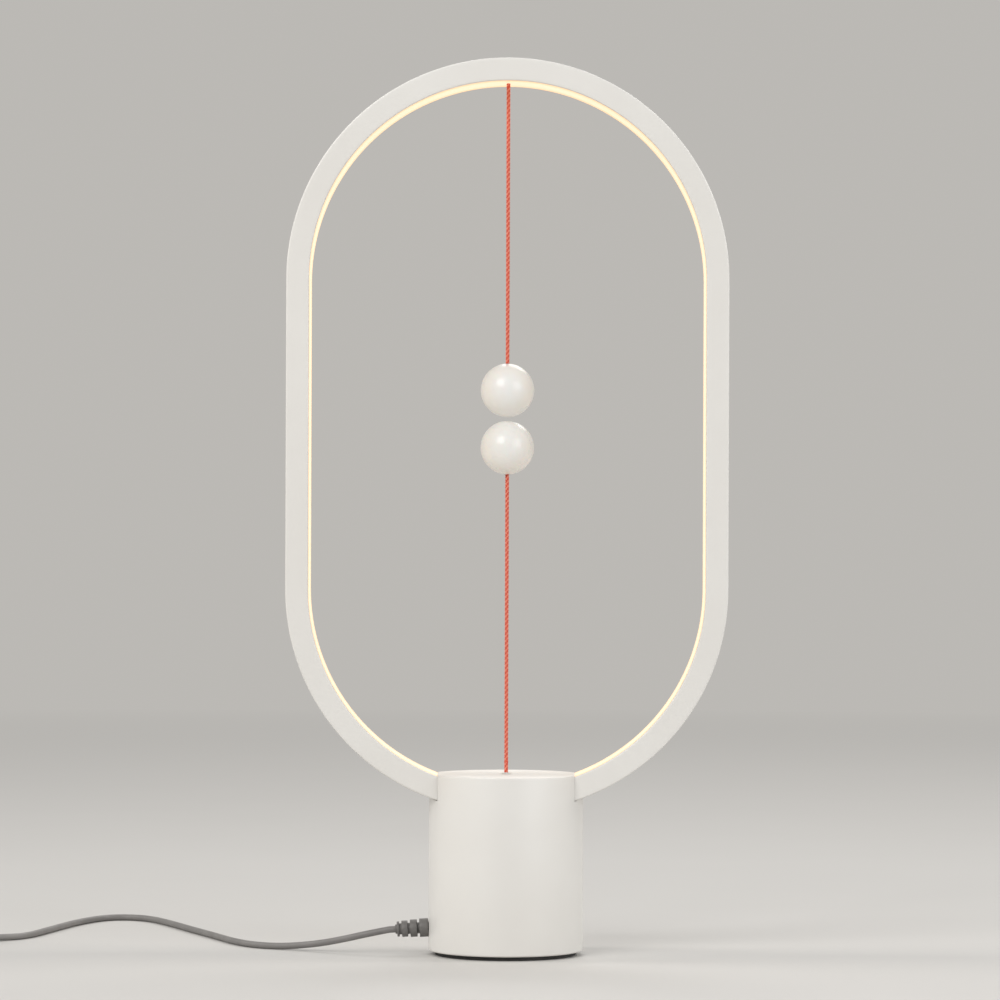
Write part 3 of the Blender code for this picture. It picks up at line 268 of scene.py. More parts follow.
shellFinish = grainedFinish("satinShell", shellLook, Coat_Weight=0.12, Coat_Roughness=0.3)
capFinish = grainedFinish("mattCap", capLook)
ballFinish = grainedFinish(
    "softGlossBall", ballLook, Coat_Weight=0.2, Coat_Roughness=0.2, Subsurface_Weight=0.05
)
footFinish = grainedFinish("footRubber", footLook)
cordFinish = grainedFinish("cordJacket", cordLook)
# the relief's rubber finish, darkened as painted shade
shadedReliefFinish = grainedFinish("reliefRubberPaintedShade", shadedReliefLook)
frameFinish = grainedFinish("greyFrame", frameLook)
blackFinish = grainedFinish("blackPlastic", blackLook)
redFinish = grainedFinish("redPlastic", redLook)
stripFinish = grainedFinish("lampStrip", stripLook)


# nearly white along its middle and warmer towards its edges
diffuserLook = {
    "core": (1.0, 0.77, 0.52),
    "edge": (1.0, 0.60, 0.29),
    "coreBase": (0.45, 0.40, 0.32),
    "edgeBase": (0.42, 0.36, 0.24),
    "half": 0.0139,
    "coreShare": 0.45,
    "sockets": {
        "Emission_Strength": 0.85,
        "Roughness": 0.45,
        "Subsurface_Weight": 0.2,
        "Subsurface_Scale": 0.002,
    },
    "mottle": 0.12,
    "mottleScale": 35,
    "grainScale": 900,
    "grainStrength": 0.15,
    "grainDepth": 0.0001,
}


def glowFinish(name, look):
    material, tree, shader = newFinish(name, **look["sockets"])
    place = objectPlace(tree)
    parts = addNode(tree, "SeparateXYZ", Vector=place)
    depth = calculate(tree, "ABSOLUTE", parts.outputs["Y"])
    towardsEdge = spread(tree, depth, (look["coreShare"] * look["half"], look["half"]))
    glow = blendColours(tree, towardsEdge, look["core"], look["edge"])
    mottled = spread(tree, noise(tree, place, look["mottleScale"], 2), wideSpan, (0, look["mottle"]))
    tree.links.new(blendColours(tree, mottled, glow, look["edge"]), shader.inputs["Emission Color"])
    colourFrom(tree, shader, towardsEdge, look["coreBase"], look["edgeBase"])
    bumpFrom(tree, noise(tree, place, look["grainScale"], 2), shader, look, "grain")
    return material


diffuserFinish = glowFinish("milkyDiffuser", diffuserLook)

# Braid yarn: fine fibres along each strand, and a paler yarn for the flecks
yarnLook = {
    "colour": (0.80, 0.115, 0.065),
    "shade": (0.58, 0.06, 0.035),
    "fleck": (0.88, 0.36, 0.25),
    "fleckShade": (0.80, 0.20, 0.13),
    "fibreScale": 4200,
    "fibreStretch": (1, 1, 0.3),
    "fibreStrength": 0.5,
    "fibreDepth": 0.00008,
    "sockets": {
        "Roughness": 0.72,
        "Sheen_Weight": 0.35,
        "Sheen_Roughness": 0.4,
        "Sheen_Tint": (1.0, 0.75, 0.7, 1),
    },
}


def yarnFinish(name, look, colour, shade):
    material, tree, shader = newFinish(name, **look["sockets"])
    place = objectPlace(tree, look["fibreStretch"])
    fibres = noise(tree, place, look["fibreScale"], 3, 0.7)
    colourFrom(tree, shader, spread(tree, fibres, narrowSpan), colour, shade)
    bumpFrom(tree, fibres, shader, look, "fibre")
    return material


stringFinish = yarnFinish("coralYarn", yarnLook, yarnLook["colour"], yarnLook["shade"])
fleckFinish = yarnFinish("fleckYarn", yarnLook, yarnLook["fleck"], yarnLook["fleckShade"])


# Metals: brushed or cast, with duller patches
def metalFinish(name, look):
    material, tree, shader = newFinish(name, Metallic=look["metallic"])
    place = objectPlace(tree, look["stretch"])
    streaks = noise(tree, place, look["streakScale"], 4, 0.65)
    patches = noise(tree, objectPlace(tree), look["patchScale"], 3)
    colourFrom(tree, shader, spread(tree, patches, narrowSpan), look["colour"], look["shade"])
    tree.links.new(spread(tree, streaks, wideSpan, look["roughness"]), shader.inputs["Roughness"])
    bumpFrom(tree, streaks, shader, look, "streak")
    return material


steelLook = {
    "colour": (0.62, 0.62, 0.60),
    "shade": (0.54, 0.545, 0.54),
    "metallic": 1.0,
    "stretch": (1, 1, 0.12),
    "streakScale": 2400,
    "patchScale": 260,
    "roughness": (0.24, 0.4),
    "streakStrength": 0.12,
    "streakDepth": 0.00005,
}
ironLook = {
    **steelLook,
    "colour": (0.16, 0.16, 0.17),
    "shade": (0.12, 0.115, 0.11),
    "metallic": 0.7,
    "stretch": (1, 1, 1),
    "streakScale": 900,
    "roughness": (0.55, 0.75),
    "streakStrength": 0.7,
    "streakDepth": 0.0003,
}
magnetLook = {
    **steelLook,
    "colour": (0.72, 0.70, 0.66),
    "shade": (0.66, 0.64, 0.6),
    "stretch": (1, 1, 1),
    "roughness": (0.12, 0.22),
    "streakStrength": 0.05,
}

steelFinish = metalFinish("zincSteel", steelLook)
ironFinish = metalFinish("castIron", ironLook)
magnetFinish = metalFinish("nickelMagnet", magnetLook)

# Circuit board: green lacquer with faint tracks under it
boardLook = {
    "lacquer": (0.05, 0.22, 0.10),
    "track": (0.09, 0.34, 0.15),
    "trackScale": 260,
    "trackWidth": 0.03,
    "trackStrength": 0.3,
    "trackDepth": 0.0001,
    "rowShift": 0.35,
    "rowSquash": 1.6,
    "squashEvery": 3,
    "smudgeScale": 400,
    "roughness": (0.28, 0.42),
}


def boardFinish(name, look):
    material, tree, shader = newFinish(name, Coat_Weight=0.3, Coat_Roughness=0.25)
    place = objectPlace(tree)
    tracks = addNode(tree, "TexBrick", Vector=place, Scale=look["trackScale"], offset=look["rowShift"])
    tracks.squash = look["rowSquash"]
    tracks.squash_frequency = look["squashEvery"]
    tracks.inputs["Mortar Size"].default_value = look["trackWidth"]
    width = spread(tree, tracks.outputs["Fac"], (0, 1))
    colourFrom(tree, shader, width, look["lacquer"], look["track"])
    smudges = spread(tree, noise(tree, place, look["smudgeScale"]), wideSpan, look["roughness"])
    tree.links.new(smudges, shader.inputs["Roughness"])
    bumpFrom(tree, width, shader, look, "track")
    return material


greenBoardFinish = boardFinish("greenBoard", boardLook)

# Woven strap: crossing waves
tieLook = {
    "colour": (0.28, 0.28, 0.29),
    "shade": (0.17, 0.17, 0.18),
    "threads": 420,
    "waver": 0.6,
    "threadStrength": 0.6,
    "threadDepth": 0.0002,
    "sockets": {"Roughness": 0.82, "Sheen_Weight": 0.3, "Sheen_Roughness": 0.5},
    "turnDegrees": -141.5,  # the strap lies at this angle
}


def wovenFinish(name, look):
    material, tree, shader = newFinish(name, **look["sockets"])
    place = objectPlace(tree, turn=(0, 0, radians(look["turnDegrees"])))
    waves = []
    for direction in ("X", "Y", "Z"):
        wave = addNode(tree, "TexWave", Vector=place, Scale=look["threads"], Distortion=look["waver"])
        wave.bands_direction = direction
        waves.append(wave.outputs["Fac"])
    threads = calculate(tree, "MULTIPLY", calculate(tree, "MAXIMUM", waves[0], waves[2]), waves[1])
    colourFrom(tree, shader, threads, look["shade"], look["colour"])
    bumpFrom(tree, threads, shader, look, "thread")
    return material


tieFinish = wovenFinish("wovenStrap", tieLook)

# The solid pieces that keep their shape get these finishes.
keptNodes = {
    stripFinish: "led_strip",
    frameFinish: "ring_end_block_left ring_end_block_right inner_frame bottom_cover",
    steelFinish: "ring_screw_left ring_screw_right cover_screw_1 cover_screw_2 cover_screw_3 "
    "board_screw_left board_screw_right switch_lever_pin plunger_spring switch_lever",
    ironFinish: "ballast_weight",
    magnetFinish: "upper_ball_magnet lower_ball_magnet",
    greenBoardFinish: "main_board",
    blackFinish: "driver_chip capacitor micro_switch_body",
    capFinish: "led_socket power_socket string_plunger",
    redFinish: "switch_button",
}
for finish, names in keptNodes.items():
    for name in names.split():
        dress(nodes[name], finish)
print("finishes made")

# power cord, on the route of the solid one

cord = {
    "radius": 0.0015,
    "step": 0.0036,
    "gap": 0.0003,
    "reliefHeight": 0.0119,
    "reliefDroopDegrees": 3.6,
    "reliefReach": 0.0143,  # from the base's wall to the relief's end
    "coilCentre": (-0.2659, 0.0537),
    "coilStartDegrees": -51.5,
    "coilRadius": 0.0214,
    "coilPitch": 0.0036,
    "layerRise": 0.0036,
    "layers": 4,
    "layerTurns": 2.5,
    "coilPoints": 24,
    "tieThickness": 0.0006,
    "baseRadius": 0.0345,
}
cordRoute = [
    (-0.0629, 0.0012, 0.0085), (-0.073, 0.0045, 0.006), (-0.083, 0.009, 0.0038),
    (-0.0945, 0.0145, 0.0021), (-0.1035, 0.018, 0.0015), (-0.1105, 0.0215, 0.0015),
    (-0.1175, 0.029, 0.0015), (-0.1248, 0.042, 0.0015), (-0.1312, 0.0575, 0.0015),
    (-0.14, 0.079, 0.0015), (-0.149, 0.1005, 0.0015), (-0.1572, 0.121, 0.0015),
    (-0.1644, 0.1375, 0.0015), (-0.1702, 0.1485, 0.0015), (-0.1768, 0.1558, 0.0015),
    (-0.1848, 0.1588, 0.0015), (-0.192, 0.1563, 0.0015), (-0.1978, 0.1485, 0.0015),
    (-0.2028, 0.1365, 0.0015), (-0.2068, 0.124, 0.0015), (-0.2112, 0.1055, 0.0015),
    (-0.2155, 0.087, 0.0015), (-0.2192, 0.0715, 0.0015), (-0.2245, 0.06, 0.0015),
    (-0.233, 0.0515, 0.0018), (-0.243, 0.044, 0.0022),
]
plugRoute = [
    (-0.2648, 0.0284, 0.0126), (-0.2735, 0.0262, 0.0108), (-0.283, 0.0278, 0.008),
    (-0.2915, 0.0335, 0.0056), (-0.2972, 0.042, 0.0044), (-0.2998, 0.051, 0.0041),
    (-0.3005, 0.0575, 0.0041),
]


def addTube(name, radius, paths, materials, resolution=1):
    shape = bpy.data.curves.new(name, "CURVE")
    shape.dimensions = "3D"
    shape.bevel_depth = radius
    shape.bevel_resolution = resolution
    shape.use_fill_caps = True
    for material in materials:
        shape.materials.append(material)
    for number, path in paths:
        run = shape.splines.new("POLY")
        run.points.add(len(path) - 1)
        run.material_index = number
        for point, place in zip(run.points, path):
            point.co = (*place, 1)
    piece = bpy.data.objects.new(name, shape)
    scene.collection.objects.link(piece)
    pick(piece)
    bpy.ops.object.convert(target="MESH")
    piece = bpy.context.object
    bpy.ops.object.shade_smooth()
    return piece


def smoothRoute(route, step):
    route = [Vector(place) for place in route]
    padded = [2 * route[0] - route[1], *route, 2 * route[-1] - route[-2]]
    smooth = []
    for before, start, end, after in zip(padded, padded[1:], padded[2:], padded[3:]):
        count = max(1, round((end - start).length / step))
        for number in range(count):
            share = number / count
            bend = (2 * before - 5 * start + 4 * end - after) * share**2
            twist = (3 * start - before - 3 * end + after) * share**3
            smooth.append((2 * start + (end - before) * share + bend + twist) / 2)
    return [*smooth, route[-1]]


def coilPoint(turn):
    inward = cord["layerTurns"] - abs(turn % (2 * cord["layerTurns"]) - cord["layerTurns"])
    radius = cord["coilRadius"] - cord["coilPitch"] * inward
    climbs = [(turn - layer * cord["layerTurns"]) * 2 + 0.5 for layer in range(1, cord["layers"])]
    climbed = sum(min(max(climb, 0), 1) for climb in climbs)
    height = cord["tieThickness"] + cord["gap"] + cord["radius"] + cord["layerRise"] * climbed
    angle = radians(cord["coilStartDegrees"]) - turn * tau
    centreX, centreY = cord["coilCentre"]
    return Vector((centreX + radius * cos(angle), centreY + radius * sin(angle), height))


def reliefPoint(reach):
    droop = radians(cord["reliefDroopDegrees"])
    along = Vector((-cos(droop), 0, -sin(droop)))
    return Vector((-cord["baseRadius"], 0, cord["reliefHeight"])) + reach * along


def cordLine():
    turns = cord["layers"] * cord["layerTurns"]
    count = round(turns * cord["coilPoints"])
    coil = [coilPoint(turns * number / count) for number in range(count + 1)]
    lead = 4 * cord["radius"]
    intoCoil = (coil[1] - coil[0]).normalized()
    outOfCoil = (coil[-1] - coil[-2]).normalized()
    start = reliefPoint(cord["reliefReach"] + cord["gap"])
    route = [start, reliefPoint(cord["reliefReach"] + cord["gap"] + lead / 2), *cordRoute]
    route += [coil[0] - intoCoil * lead, *coil, coil[-1] + outOfCoil * lead, *plugRoute]
    line = smoothRoute(route, cord["step"])
    last = (line[-1] - line[-2]).normalized()
    return [*line, line[-1] + last * lead / 2]


line = cordLine()
powerCord = addTube("powerCord", cord["radius"], [(0, line)], (cordFinish,), 4)
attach(powerCord, "base")
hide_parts("power_cord", "cord_coil", "plug_cord")

# helpers for selecting by place and for finishing a piece

touch = 1e-6  # two places nearer than this are the same
play = 1e-5  # a faceted round lies this near its radius


def meets(value, target):
    return abs(value - target) < touch


def settle(piece):
    pick(piece)
    bpy.ops.object.transform_apply(location=True, rotation=True, scale=True)
    return piece


# Takes the shape that was added last.
def startPiece(name):
    piece = settle(bpy.context.object)
    piece.name = name
    bpy.ops.object.mode_set(mode="EDIT")
    return piece


def extrude(move=(0, 0, 0)):
    bpy.ops.mesh.extrude_region_move(TRANSFORM_OT_translate={"value": move})


def resize(shares, centre):
    bpy.ops.transform.resize(value=shares, center_override=centre)


def roundEdges(radius, steps):
    bpy.ops.mesh.bevel(offset=radius, segments=steps, affect="EDGES")


def roundCorners(radius, steps):
    bpy.ops.mesh.bevel(offset=radius, segments=steps, affect="VERTICES")


def selectParts(piece, kind, test):
    bpy.ops.mesh.select_mode(type=kind)
    bpy.ops.mesh.select_all(action="DESELECT")
    mesh = bmesh.from_edit_mesh(piece.data)
    if kind == "VERT":
        chosen = [vert for vert in mesh.verts if test(vert.co)]
    elif kind == "EDGE":
        chosen = [edge for edge in mesh.edges if test((edge.verts[0].co + edge.verts[1].co) / 2)]
    else:
        chosen = [face for face in mesh.faces if test(face.calc_center_median())]
    for part in chosen:
        part.select_set(True)
    mesh.select_flush_mode()
    bmesh.update_edit_mesh(piece.data)


def selectAll():
    bpy.ops.mesh.select_all(action="SELECT")


def selectHeight(piece, kind, height):
    selectParts(piece, kind, lambda place: meets(place.z, height))


def selectWhole(piece):
    selectParts(piece, "FACE", lambda place: True)


def applyModifier(piece, kind, **settings):
    modifier = piece.modifiers.new(kind.title(), kind)
    for key, value in settings.items():
        setattr(modifier, key, value)
    pick(piece)
    bpy.ops.object.modifier_apply(modifier=modifier.name)


def roundSharpEdges(piece, radius, steps, degrees):
    angle = radians(degrees)
    applyModifier(piece, "BEVEL", width=radius, segments=steps, limit_method="ANGLE", angle_limit=angle)


def cutAway(piece, *cutters):
    for cutter in cutters:
        applyModifier(piece, "BOOLEAN", object=cutter, operation="DIFFERENCE", solver="EXACT")
        bpy.data.objects.remove(cutter, do_unlink=True)


def endPiece(piece, material, smoothDegrees=35):
    pick(piece)
    bpy.ops.object.mode_set(mode="EDIT")
    selectAll()
    bpy.ops.mesh.remove_doubles(threshold=touch)
    bpy.ops.mesh.normals_make_consistent(inside=False)
    bpy.ops.object.mode_set(mode="OBJECT")
    dress(piece, material)
    bpy.ops.object.shade_smooth_by_angle(angle=radians(smoothDegrees))
    return piece


def roundRod(name, radius, low, high, sides):
    clearSelection()
    middle = (0, 0, (low + high) / 2)
    bpy.ops.mesh.primitive_cylinder_add(vertices=sides, radius=radius, depth=high - low, location=middle)
    return startPiece(name)


def joinBody(piece, body, slotName, *replaced):
    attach(piece, body)
    if replaced:
        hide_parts(*replaced)


# ring, in two shells that meet in its middle plane, and the diffuser they hold

ring = {
    "radius": 0.0985,
    "band": 0.0101,
    "depth": 0.032,
    "wall": 0.0018,
    "seam": 0.0003,
    "edge": 0.0006,
    "edgeSteps": 4,
    "lipOuter": 0.0913,
    "lipWall": 0.0012,
    "lowZ": 0.1633,
    "highZ": 0.3015,
    "endDegrees": 8,
    "halfTurnSteps": 96,
    "straightSteps": 24,
    "diffuserWall": 0.0014,
    "diffuserHalf": 0.0139,
    "diffuserEdge": 0.0002,
    "stringHole": 0.00135,
    "screwHole": 0.0017,
    "screwDegrees": 12,
}


# The section lies level at the ring's right side. It goes up, over the top and down to the left end, and then
# its first face is taken down to the right end.
def sweepRing(piece):
    quarter = radians(90 - ring["endDegrees"])
    quarterSteps = round(ring["halfTurnSteps"] * quarter / pi)
    rise = ring["highZ"] - ring["lowZ"]
    step = rise / ring["straightSteps"]
    for direction in (1, -1):
        for number in range(ring["straightSteps"]):
            extrude((0, 0, direction * step))
        if direction > 0:
            spinSelected(ring["halfTurnSteps"], pi, ring["highZ"])
    spinSelected(quarterSteps, quarter, ring["lowZ"])
    selectParts(piece, "FACE", lambda place: place.x > 0 and meets(place.z, ring["lowZ"]))
    spinSelected(quarterSteps, -quarter, ring["lowZ"])


def spinSelected(steps, angle, centreZ):
    bpy.ops.mesh.spin(steps=steps, angle=angle, center=(0, 0, centreZ), axis=(0, 1, 0))


def ringPlane(name, inner, outer, nearY, farY):
    clearSelection()
    bpy.ops.mesh.primitive_plane_add(size=1, location=((inner + outer) / 2, (nearY + farY) / 2, ring["lowZ"]))
    bpy.context.object.scale = (outer - inner, abs(farY - nearY), 1)
    return startPiece(name)


def extrudeEdges(piece, test, move):
    selectParts(piece, "EDGE", test)
    extrude(move)


# The corner of the section comes first, then the outer wall, the face and the small ledge for the diffuser.
def ringShell(name, faceSide):
    outer = ring["radius"]
    inner = outer - ring["band"]
    wall = ring["wall"]
    face = faceSide * ring["depth"] / 2
    inside = face - faceSide * wall
    seam = faceSide * ring["seam"] / 2
    piece = ringPlane(name, outer - wall, outer, face, inside)
    extrudeEdges(piece, lambda place: meets(place.y, inside), (0, seam - inside, 0))
    ledge = ring["lipOuter"] - ring["lipWall"]
    middle = (face + inside) / 2
    for start, end in ((outer - wall, ring["lipOuter"]), (ring["lipOuter"], ledge), (ledge, inner)):
        move = (end - start, 0, 0)
        extrudeEdges(piece, lambda place: meets(place.x, start) and meets(place.y, middle), move)
    middleX = (ring["lipOuter"] + ledge) / 2
    lift = -faceSide * ring["lipWall"]
    extrudeEdges(piece, lambda place: meets(place.x, middleX) and meets(place.y, inside), (0, lift, 0))
    for corner in (outer, inner):
        selectParts(piece, "VERT", lambda place: meets(place.x, corner) and meets(place.y, face))
        roundCorners(ring["edge"], ring["edgeSteps"])
    selectWhole(piece)
    sweepRing(piece)
    holes = []
    for side in (-1, 1):
        hole = roundRod("screwHole", ring["screwHole"], -ring["wall"], 2 * ring["wall"], 32)
        angle = side * radians(ring["screwDegrees"])
        hole.location = (outer * sin(angle), 0, ring["lowZ"] - outer * cos(angle))
        hole.rotation_euler = (0, -angle, 0)
        holes.append(hole)
    endPiece(piece, shellFinish)
    cutAway(piece, *holes)
    return piece


def ringDiffuser():
    inner = ring["radius"] - ring["band"]
    half = ring["diffuserHalf"]
    piece = ringPlane("ringDiffuser", inner, inner + ring["diffuserWall"], -half, half)
    selectParts(piece, "VERT", lambda place: True)
    roundCorners(ring["diffuserEdge"], 3)
    selectWhole(piece)
    sweepRing(piece)
    endPiece(piece, diffuserFinish)
    top = ring["highZ"] + inner
    cutAway(piece, roundRod("stringHole", ring["stringHole"], top - 0.001, top + 0.003, 48))
    return piece


for side, name in ((-1, "Front"), (1, "Back")):
    joinBody(ringShell(f"ring{name}Shell", side), "base", "shell", f"ring_{name.lower()}_shell")
joinBody(ringDiffuser(), "base", "diffuser", "ring_diffuser")
print("ring made")

# base, a tube with ledges for its cap and its cover, and the cap with the ring's two notches

base = {
    "radius": 0.0345,
    "wall": 0.002,
    "low": 0.0018,
    "high": 0.0807,
    "sides": 192,
    "rim": 0.0005,
    "lowRim": 0.0009,
    "ledge": 0.0015,
    "ledgeHeights": (0.0051, 0.0071, 0.0764, 0.0784),
    "capRadius": 0.0322,
    "capLow": 0.0787,
    "capRim": 0.0003,
    "capHole": 0.00225,
    "notchClearance": 0.00025,
    "notchHalf": 0.0162,
    "notchSteps": 120,
    "reliefHole": 0.0028,
}


def notchCutter():
    inner = ring["radius"] - ring["band"] - base["notchClearance"]
    outer = ring["radius"] + base["notchClearance"]
    piece = ringPlane("notchCutter", inner, outer, -base["notchHalf"], base["notchHalf"])
    selectWhole(piece)
    spinSelected(base["notchSteps"], -pi, ring["lowZ"])
    selectAll()
    bpy.ops.mesh.normals_make_consistent(inside=False)
    return piece


def onRelief(piece):
    droop = radians(cord["reliefDroopDegrees"])
    piece.location = reliefPoint(0)
    piece.rotation_euler = (0, -pi / 2 - droop, 0)
    return settle(piece)


def isRim(radius, height):
    return lambda place: abs(place.xy.length - radius) < 2 * play and meets(place.z, height)


def baseHousing():
    clearSelection()
    depth = base["high"] - base["low"]
    bpy.ops.mesh.primitive_cylinder_add(
        vertices=base["sides"], radius=base["radius"], depth=depth, location=(0, 0, base["low"] + depth / 2)
    )
    piece = startPiece("baseHousing")
    ends = (base["low"], base["high"])
    selectParts(piece, "FACE", lambda place: meets(place.z, ends[0]) or meets(place.z, ends[1]))
    bpy.ops.mesh.inset(thickness=base["wall"])
    bpy.ops.mesh.bridge_edge_loops()
    bore = base["radius"] - base["wall"]
    for height in base["ledgeHeights"]:
        selectParts(piece, "FACE", lambda place: place.xy.length < bore + play)
        bpy.ops.mesh.bisect(plane_co=(0, 0, height), plane_no=(0, 0, 1))
    lowLedge, highLedge = (sum(pair) / 2 for pair in (base["ledgeHeights"][:2], base["ledgeHeights"][2:]))
    shrink = (bore - base["ledge"]) / bore
    for height in (lowLedge, highLedge):
        low, high = height - base["rim"], height + base["rim"]
        selectParts(piece, "FACE", lambda place: place.xy.length < bore + play and low < place.z < high)
        extrude()
        resize((shrink, shrink, 1), (0, 0, height))
    for height, rim in zip(ends, (base["lowRim"], base["rim"])):
        selectParts(piece, "EDGE", isRim(base["radius"], height))
        roundEdges(rim, 4)
    selectParts(piece, "EDGE", isRim(bore, base["high"]))
    roundEdges(base["rim"] / 2, 2)
    endPiece(piece, shellFinish)
    hole = onRelief(roundRod("reliefHole", base["reliefHole"], -0.004, 0.002, 48))
    cutAway(piece, notchCutter(), hole)
    return piece


def topCap():
    piece = roundRod("topCap", base["capRadius"], base["capLow"], base["high"], base["sides"])
    selectParts(piece, "EDGE", isRim(base["capRadius"], base["high"]))
    roundEdges(base["capRim"], 3)
    endPiece(piece, capFinish)
    eyeletSeat = roundRod("eyeletSeat", base["capHole"], base["capLow"] - 0.001, base["high"] + 0.001, 48)
    cutAway(piece, notchCutter(), eyeletSeat)
    return piece


eyelet = {
    "bore": 0.00135,
    "wall": 0.0006,
    "flangeRadius": 0.0026,
    "low": 0.0787,
    "seat": 0.081,
    "top": 0.0814,
    "edge": 0.00012,
}


# A small section is spun round the string's hole.
def stringEyelet():
    clearSelection()
    outside = eyelet["bore"] + eyelet["wall"]
    middle = ((eyelet["bore"] + outside) / 2, 0, (eyelet["seat"] + eyelet["top"]) / 2)
    bpy.ops.mesh.primitive_plane_add(size=1, location=middle, rotation=(pi / 2, 0, 0))
    bpy.context.object.scale = (eyelet["wall"], eyelet["top"] - eyelet["seat"], 1)
    piece = startPiece("stringEyelet")
    extrudeEdges(piece, lambda place: meets(place.x, outside), (eyelet["flangeRadius"] - outside, 0, 0))
    middleX = (eyelet["bore"] + outside) / 2
    seat = eyelet["seat"]
    down = (0, 0, eyelet["low"] - seat)
    extrudeEdges(piece, lambda place: meets(place.z, seat) and meets(place.x, middleX), down)
    selectParts(piece, "VERT", lambda place: meets(place.z, eyelet["top"]) and not meets(place.x, outside))
    roundCorners(eyelet["edge"], 3)
    selectWhole(piece)
    bpy.ops.mesh.spin(steps=64, angle=tau, center=(0, 0, 0), axis=(0, 0, 1))
    return endPiece(piece, capFinish)


foot = {
    "radius": 0.0315,
    "height": 0.0018,
    "edge": 0.0003,
    "grooves": (0.0275, 0.0265, 0.0215, 0.0205, 0.0155, 0.0145),
    "grooveDepth": 0.0004,
}


def footPad():
    piece = roundRod("footPad", foot["radius"], 0, foot["height"], 128)
    selectHeight(piece, "FACE", 0)
    radius = foot["radius"]
    for groove in foot["grooves"]:
        bpy.ops.mesh.inset(thickness=radius - groove)
        radius = groove
    for outer, inner in zip(foot["grooves"][::2], foot["grooves"][1::2]):
        inside, outside = inner - play, outer + play
        selectParts(piece, "FACE", lambda place: meets(place.z, 0) and inside < place.xy.length < outside)
        extrude((0, 0, foot["grooveDepth"]))
    for height in (0, foot["height"]):
        selectParts(piece, "EDGE", isRim(foot["radius"], height))
        roundEdges(foot["edge"], 3)
    return endPiece(piece, footFinish)


basePieces = (
    (baseHousing, "shell", "base_housing"),
    (topCap, "cap", "top_cap"),
    (stringEyelet, "cap", "string_eyelet"),
    (footPad, "foot", "foot_pad"),
)
for make, slotName, node in basePieces:
    joinBody(make(), "base", slotName, node)
print("base made")

# balls, each a bored shell with a domed plug round its string

ball = {
    "radius": 0.012,
    "bore": 0.0043,
    "floor": 0.0105,
    "plugRadius": 0.004,
    "plugLow": 0.003,
    "stringHole": 0.00135,
    "mouthEdge": 0.00015,
    "upperZ": 0.2525,
    "lowerZ": 0.2268,
    "segments": 128,
    "rings": 64,
}


def roundBall(name, height):
    clearSelection()
    bpy.ops.mesh.primitive_uv_sphere_add(
        segments=ball["segments"], ring_count=ball["rings"], radius=ball["radius"], location=(0, 0, height)
    )
    return startPiece(name)


# side is +1 where the string leaves the ball upwards. The ball is cut level with the rim, and from there its
# wall goes on to the part's flat end.
def ballPart(name, height, side, rimRadius, flatEnd, **cleared):
    piece = roundBall(name, height)
    selectAll()
    rim = height + side * sqrt(ball["radius"] ** 2 - rimRadius**2)
    bpy.ops.mesh.bisect(plane_co=(0, 0, rim), plane_no=(0, 0, side), **cleared)
    selectHeight(piece, "EDGE", rim)
    extrude((0, 0, height + side * flatEnd - rim))
    bpy.ops.mesh.edge_face_add()
    selectHeight(piece, "EDGE", rim)
    roundEdges(ball["mouthEdge"], 3)
    return endPiece(piece, ballFinish)


def ballShell(name, height, side):
    return ballPart(name, height, side, ball["bore"], -ball["floor"], clear_outer=True)


def ballPlug(name, height, side):
    piece = ballPart(name, height, side, ball["plugRadius"], ball["plugLow"], clear_inner=True)
    high = height + ball["radius"] + 0.001
    cutAway(piece, roundRod("stringHole", ball["stringHole"], height - ball["radius"], high, 48))
    return piece


for name, height, side in (("upper", ball["upperZ"], 1), ("lower", ball["lowerZ"], -1)):
    body = f"{name}_ball_end"
    joinBody(ballShell(f"{name}Ball", height, side), body, "ball", f"{name}_ball")
    joinBody(ballPlug(f"{name}BallPlug", height, side), body, "ball", f"{name}_ball_plug")
print("balls made")

# strings, braided from eight strands round a core, also through each bend

string = {
    "radius": 0.00095,
    "strandRadius": 0.00027,
    "weave": 0.00012,
    "lay": 0.0044,
    "stepsPerLay": 16,
    "coreRadius": 0.00055,
    "pivotRadius": 0.0009,
    "ballSmoothDegrees": 60,
    "pivotGap": 0.00027,
    "bendReach": 0.0032,
    "halfBend": 0.0018,
    "knotSteps": 72,
    "knotStrand": 0.00078,
    "knotRadius": 0.002,
    "upperPivot": 0.3884,
    "lowPivot": 0.0862,
    "highPivot": 0.1222,
    "upperEnd": 0.2549,
    "tailEnd": 0.0640,
    "lowerEnd": 0.2244,
    "anchorRadius": 0.0026,
    "anchorHeight": 0.3927,
    "anchorFlatness": 0.5,
}


def joinUnder(piece, *others):
    pick(piece)
    for other in others:
        other.select_set(True)
    bpy.ops.object.join()
    return piece


def braid(name, low, high):
    middle = string["radius"] - string["strandRadius"] - string["weave"]
    count = max(4, round((high - low) / string["lay"] * string["stepsPerLay"]))
    paths = []
    for strand in range(8):
        turnWay = 1 if strand % 2 else -1
        start = (strand // 2) * pi / 2
        path = []
        for number in range(count + 1):
            height = low + (high - low) * number / count
            turned = height / string["lay"] * tau
            radius = middle + turnWay * string["weave"] * cos(4 * turned)
            angle = turnWay * turned + start
            path.append((radius * cos(angle), radius * sin(angle), height))
        paths.append((1 if strand in (0, 3, 4, 7) else 0, path))
    strands = addTube(name, string["strandRadius"], paths, (stringFinish, fleckFinish))
    corePath = [(0, 0, low + (high - low) * number / count) for number in range(count + 1)]
    core = addTube(f"{name}Core", string["coreRadius"], [(0, corePath)], (stringFinish,), 2)
    return joinUnder(strands, core)


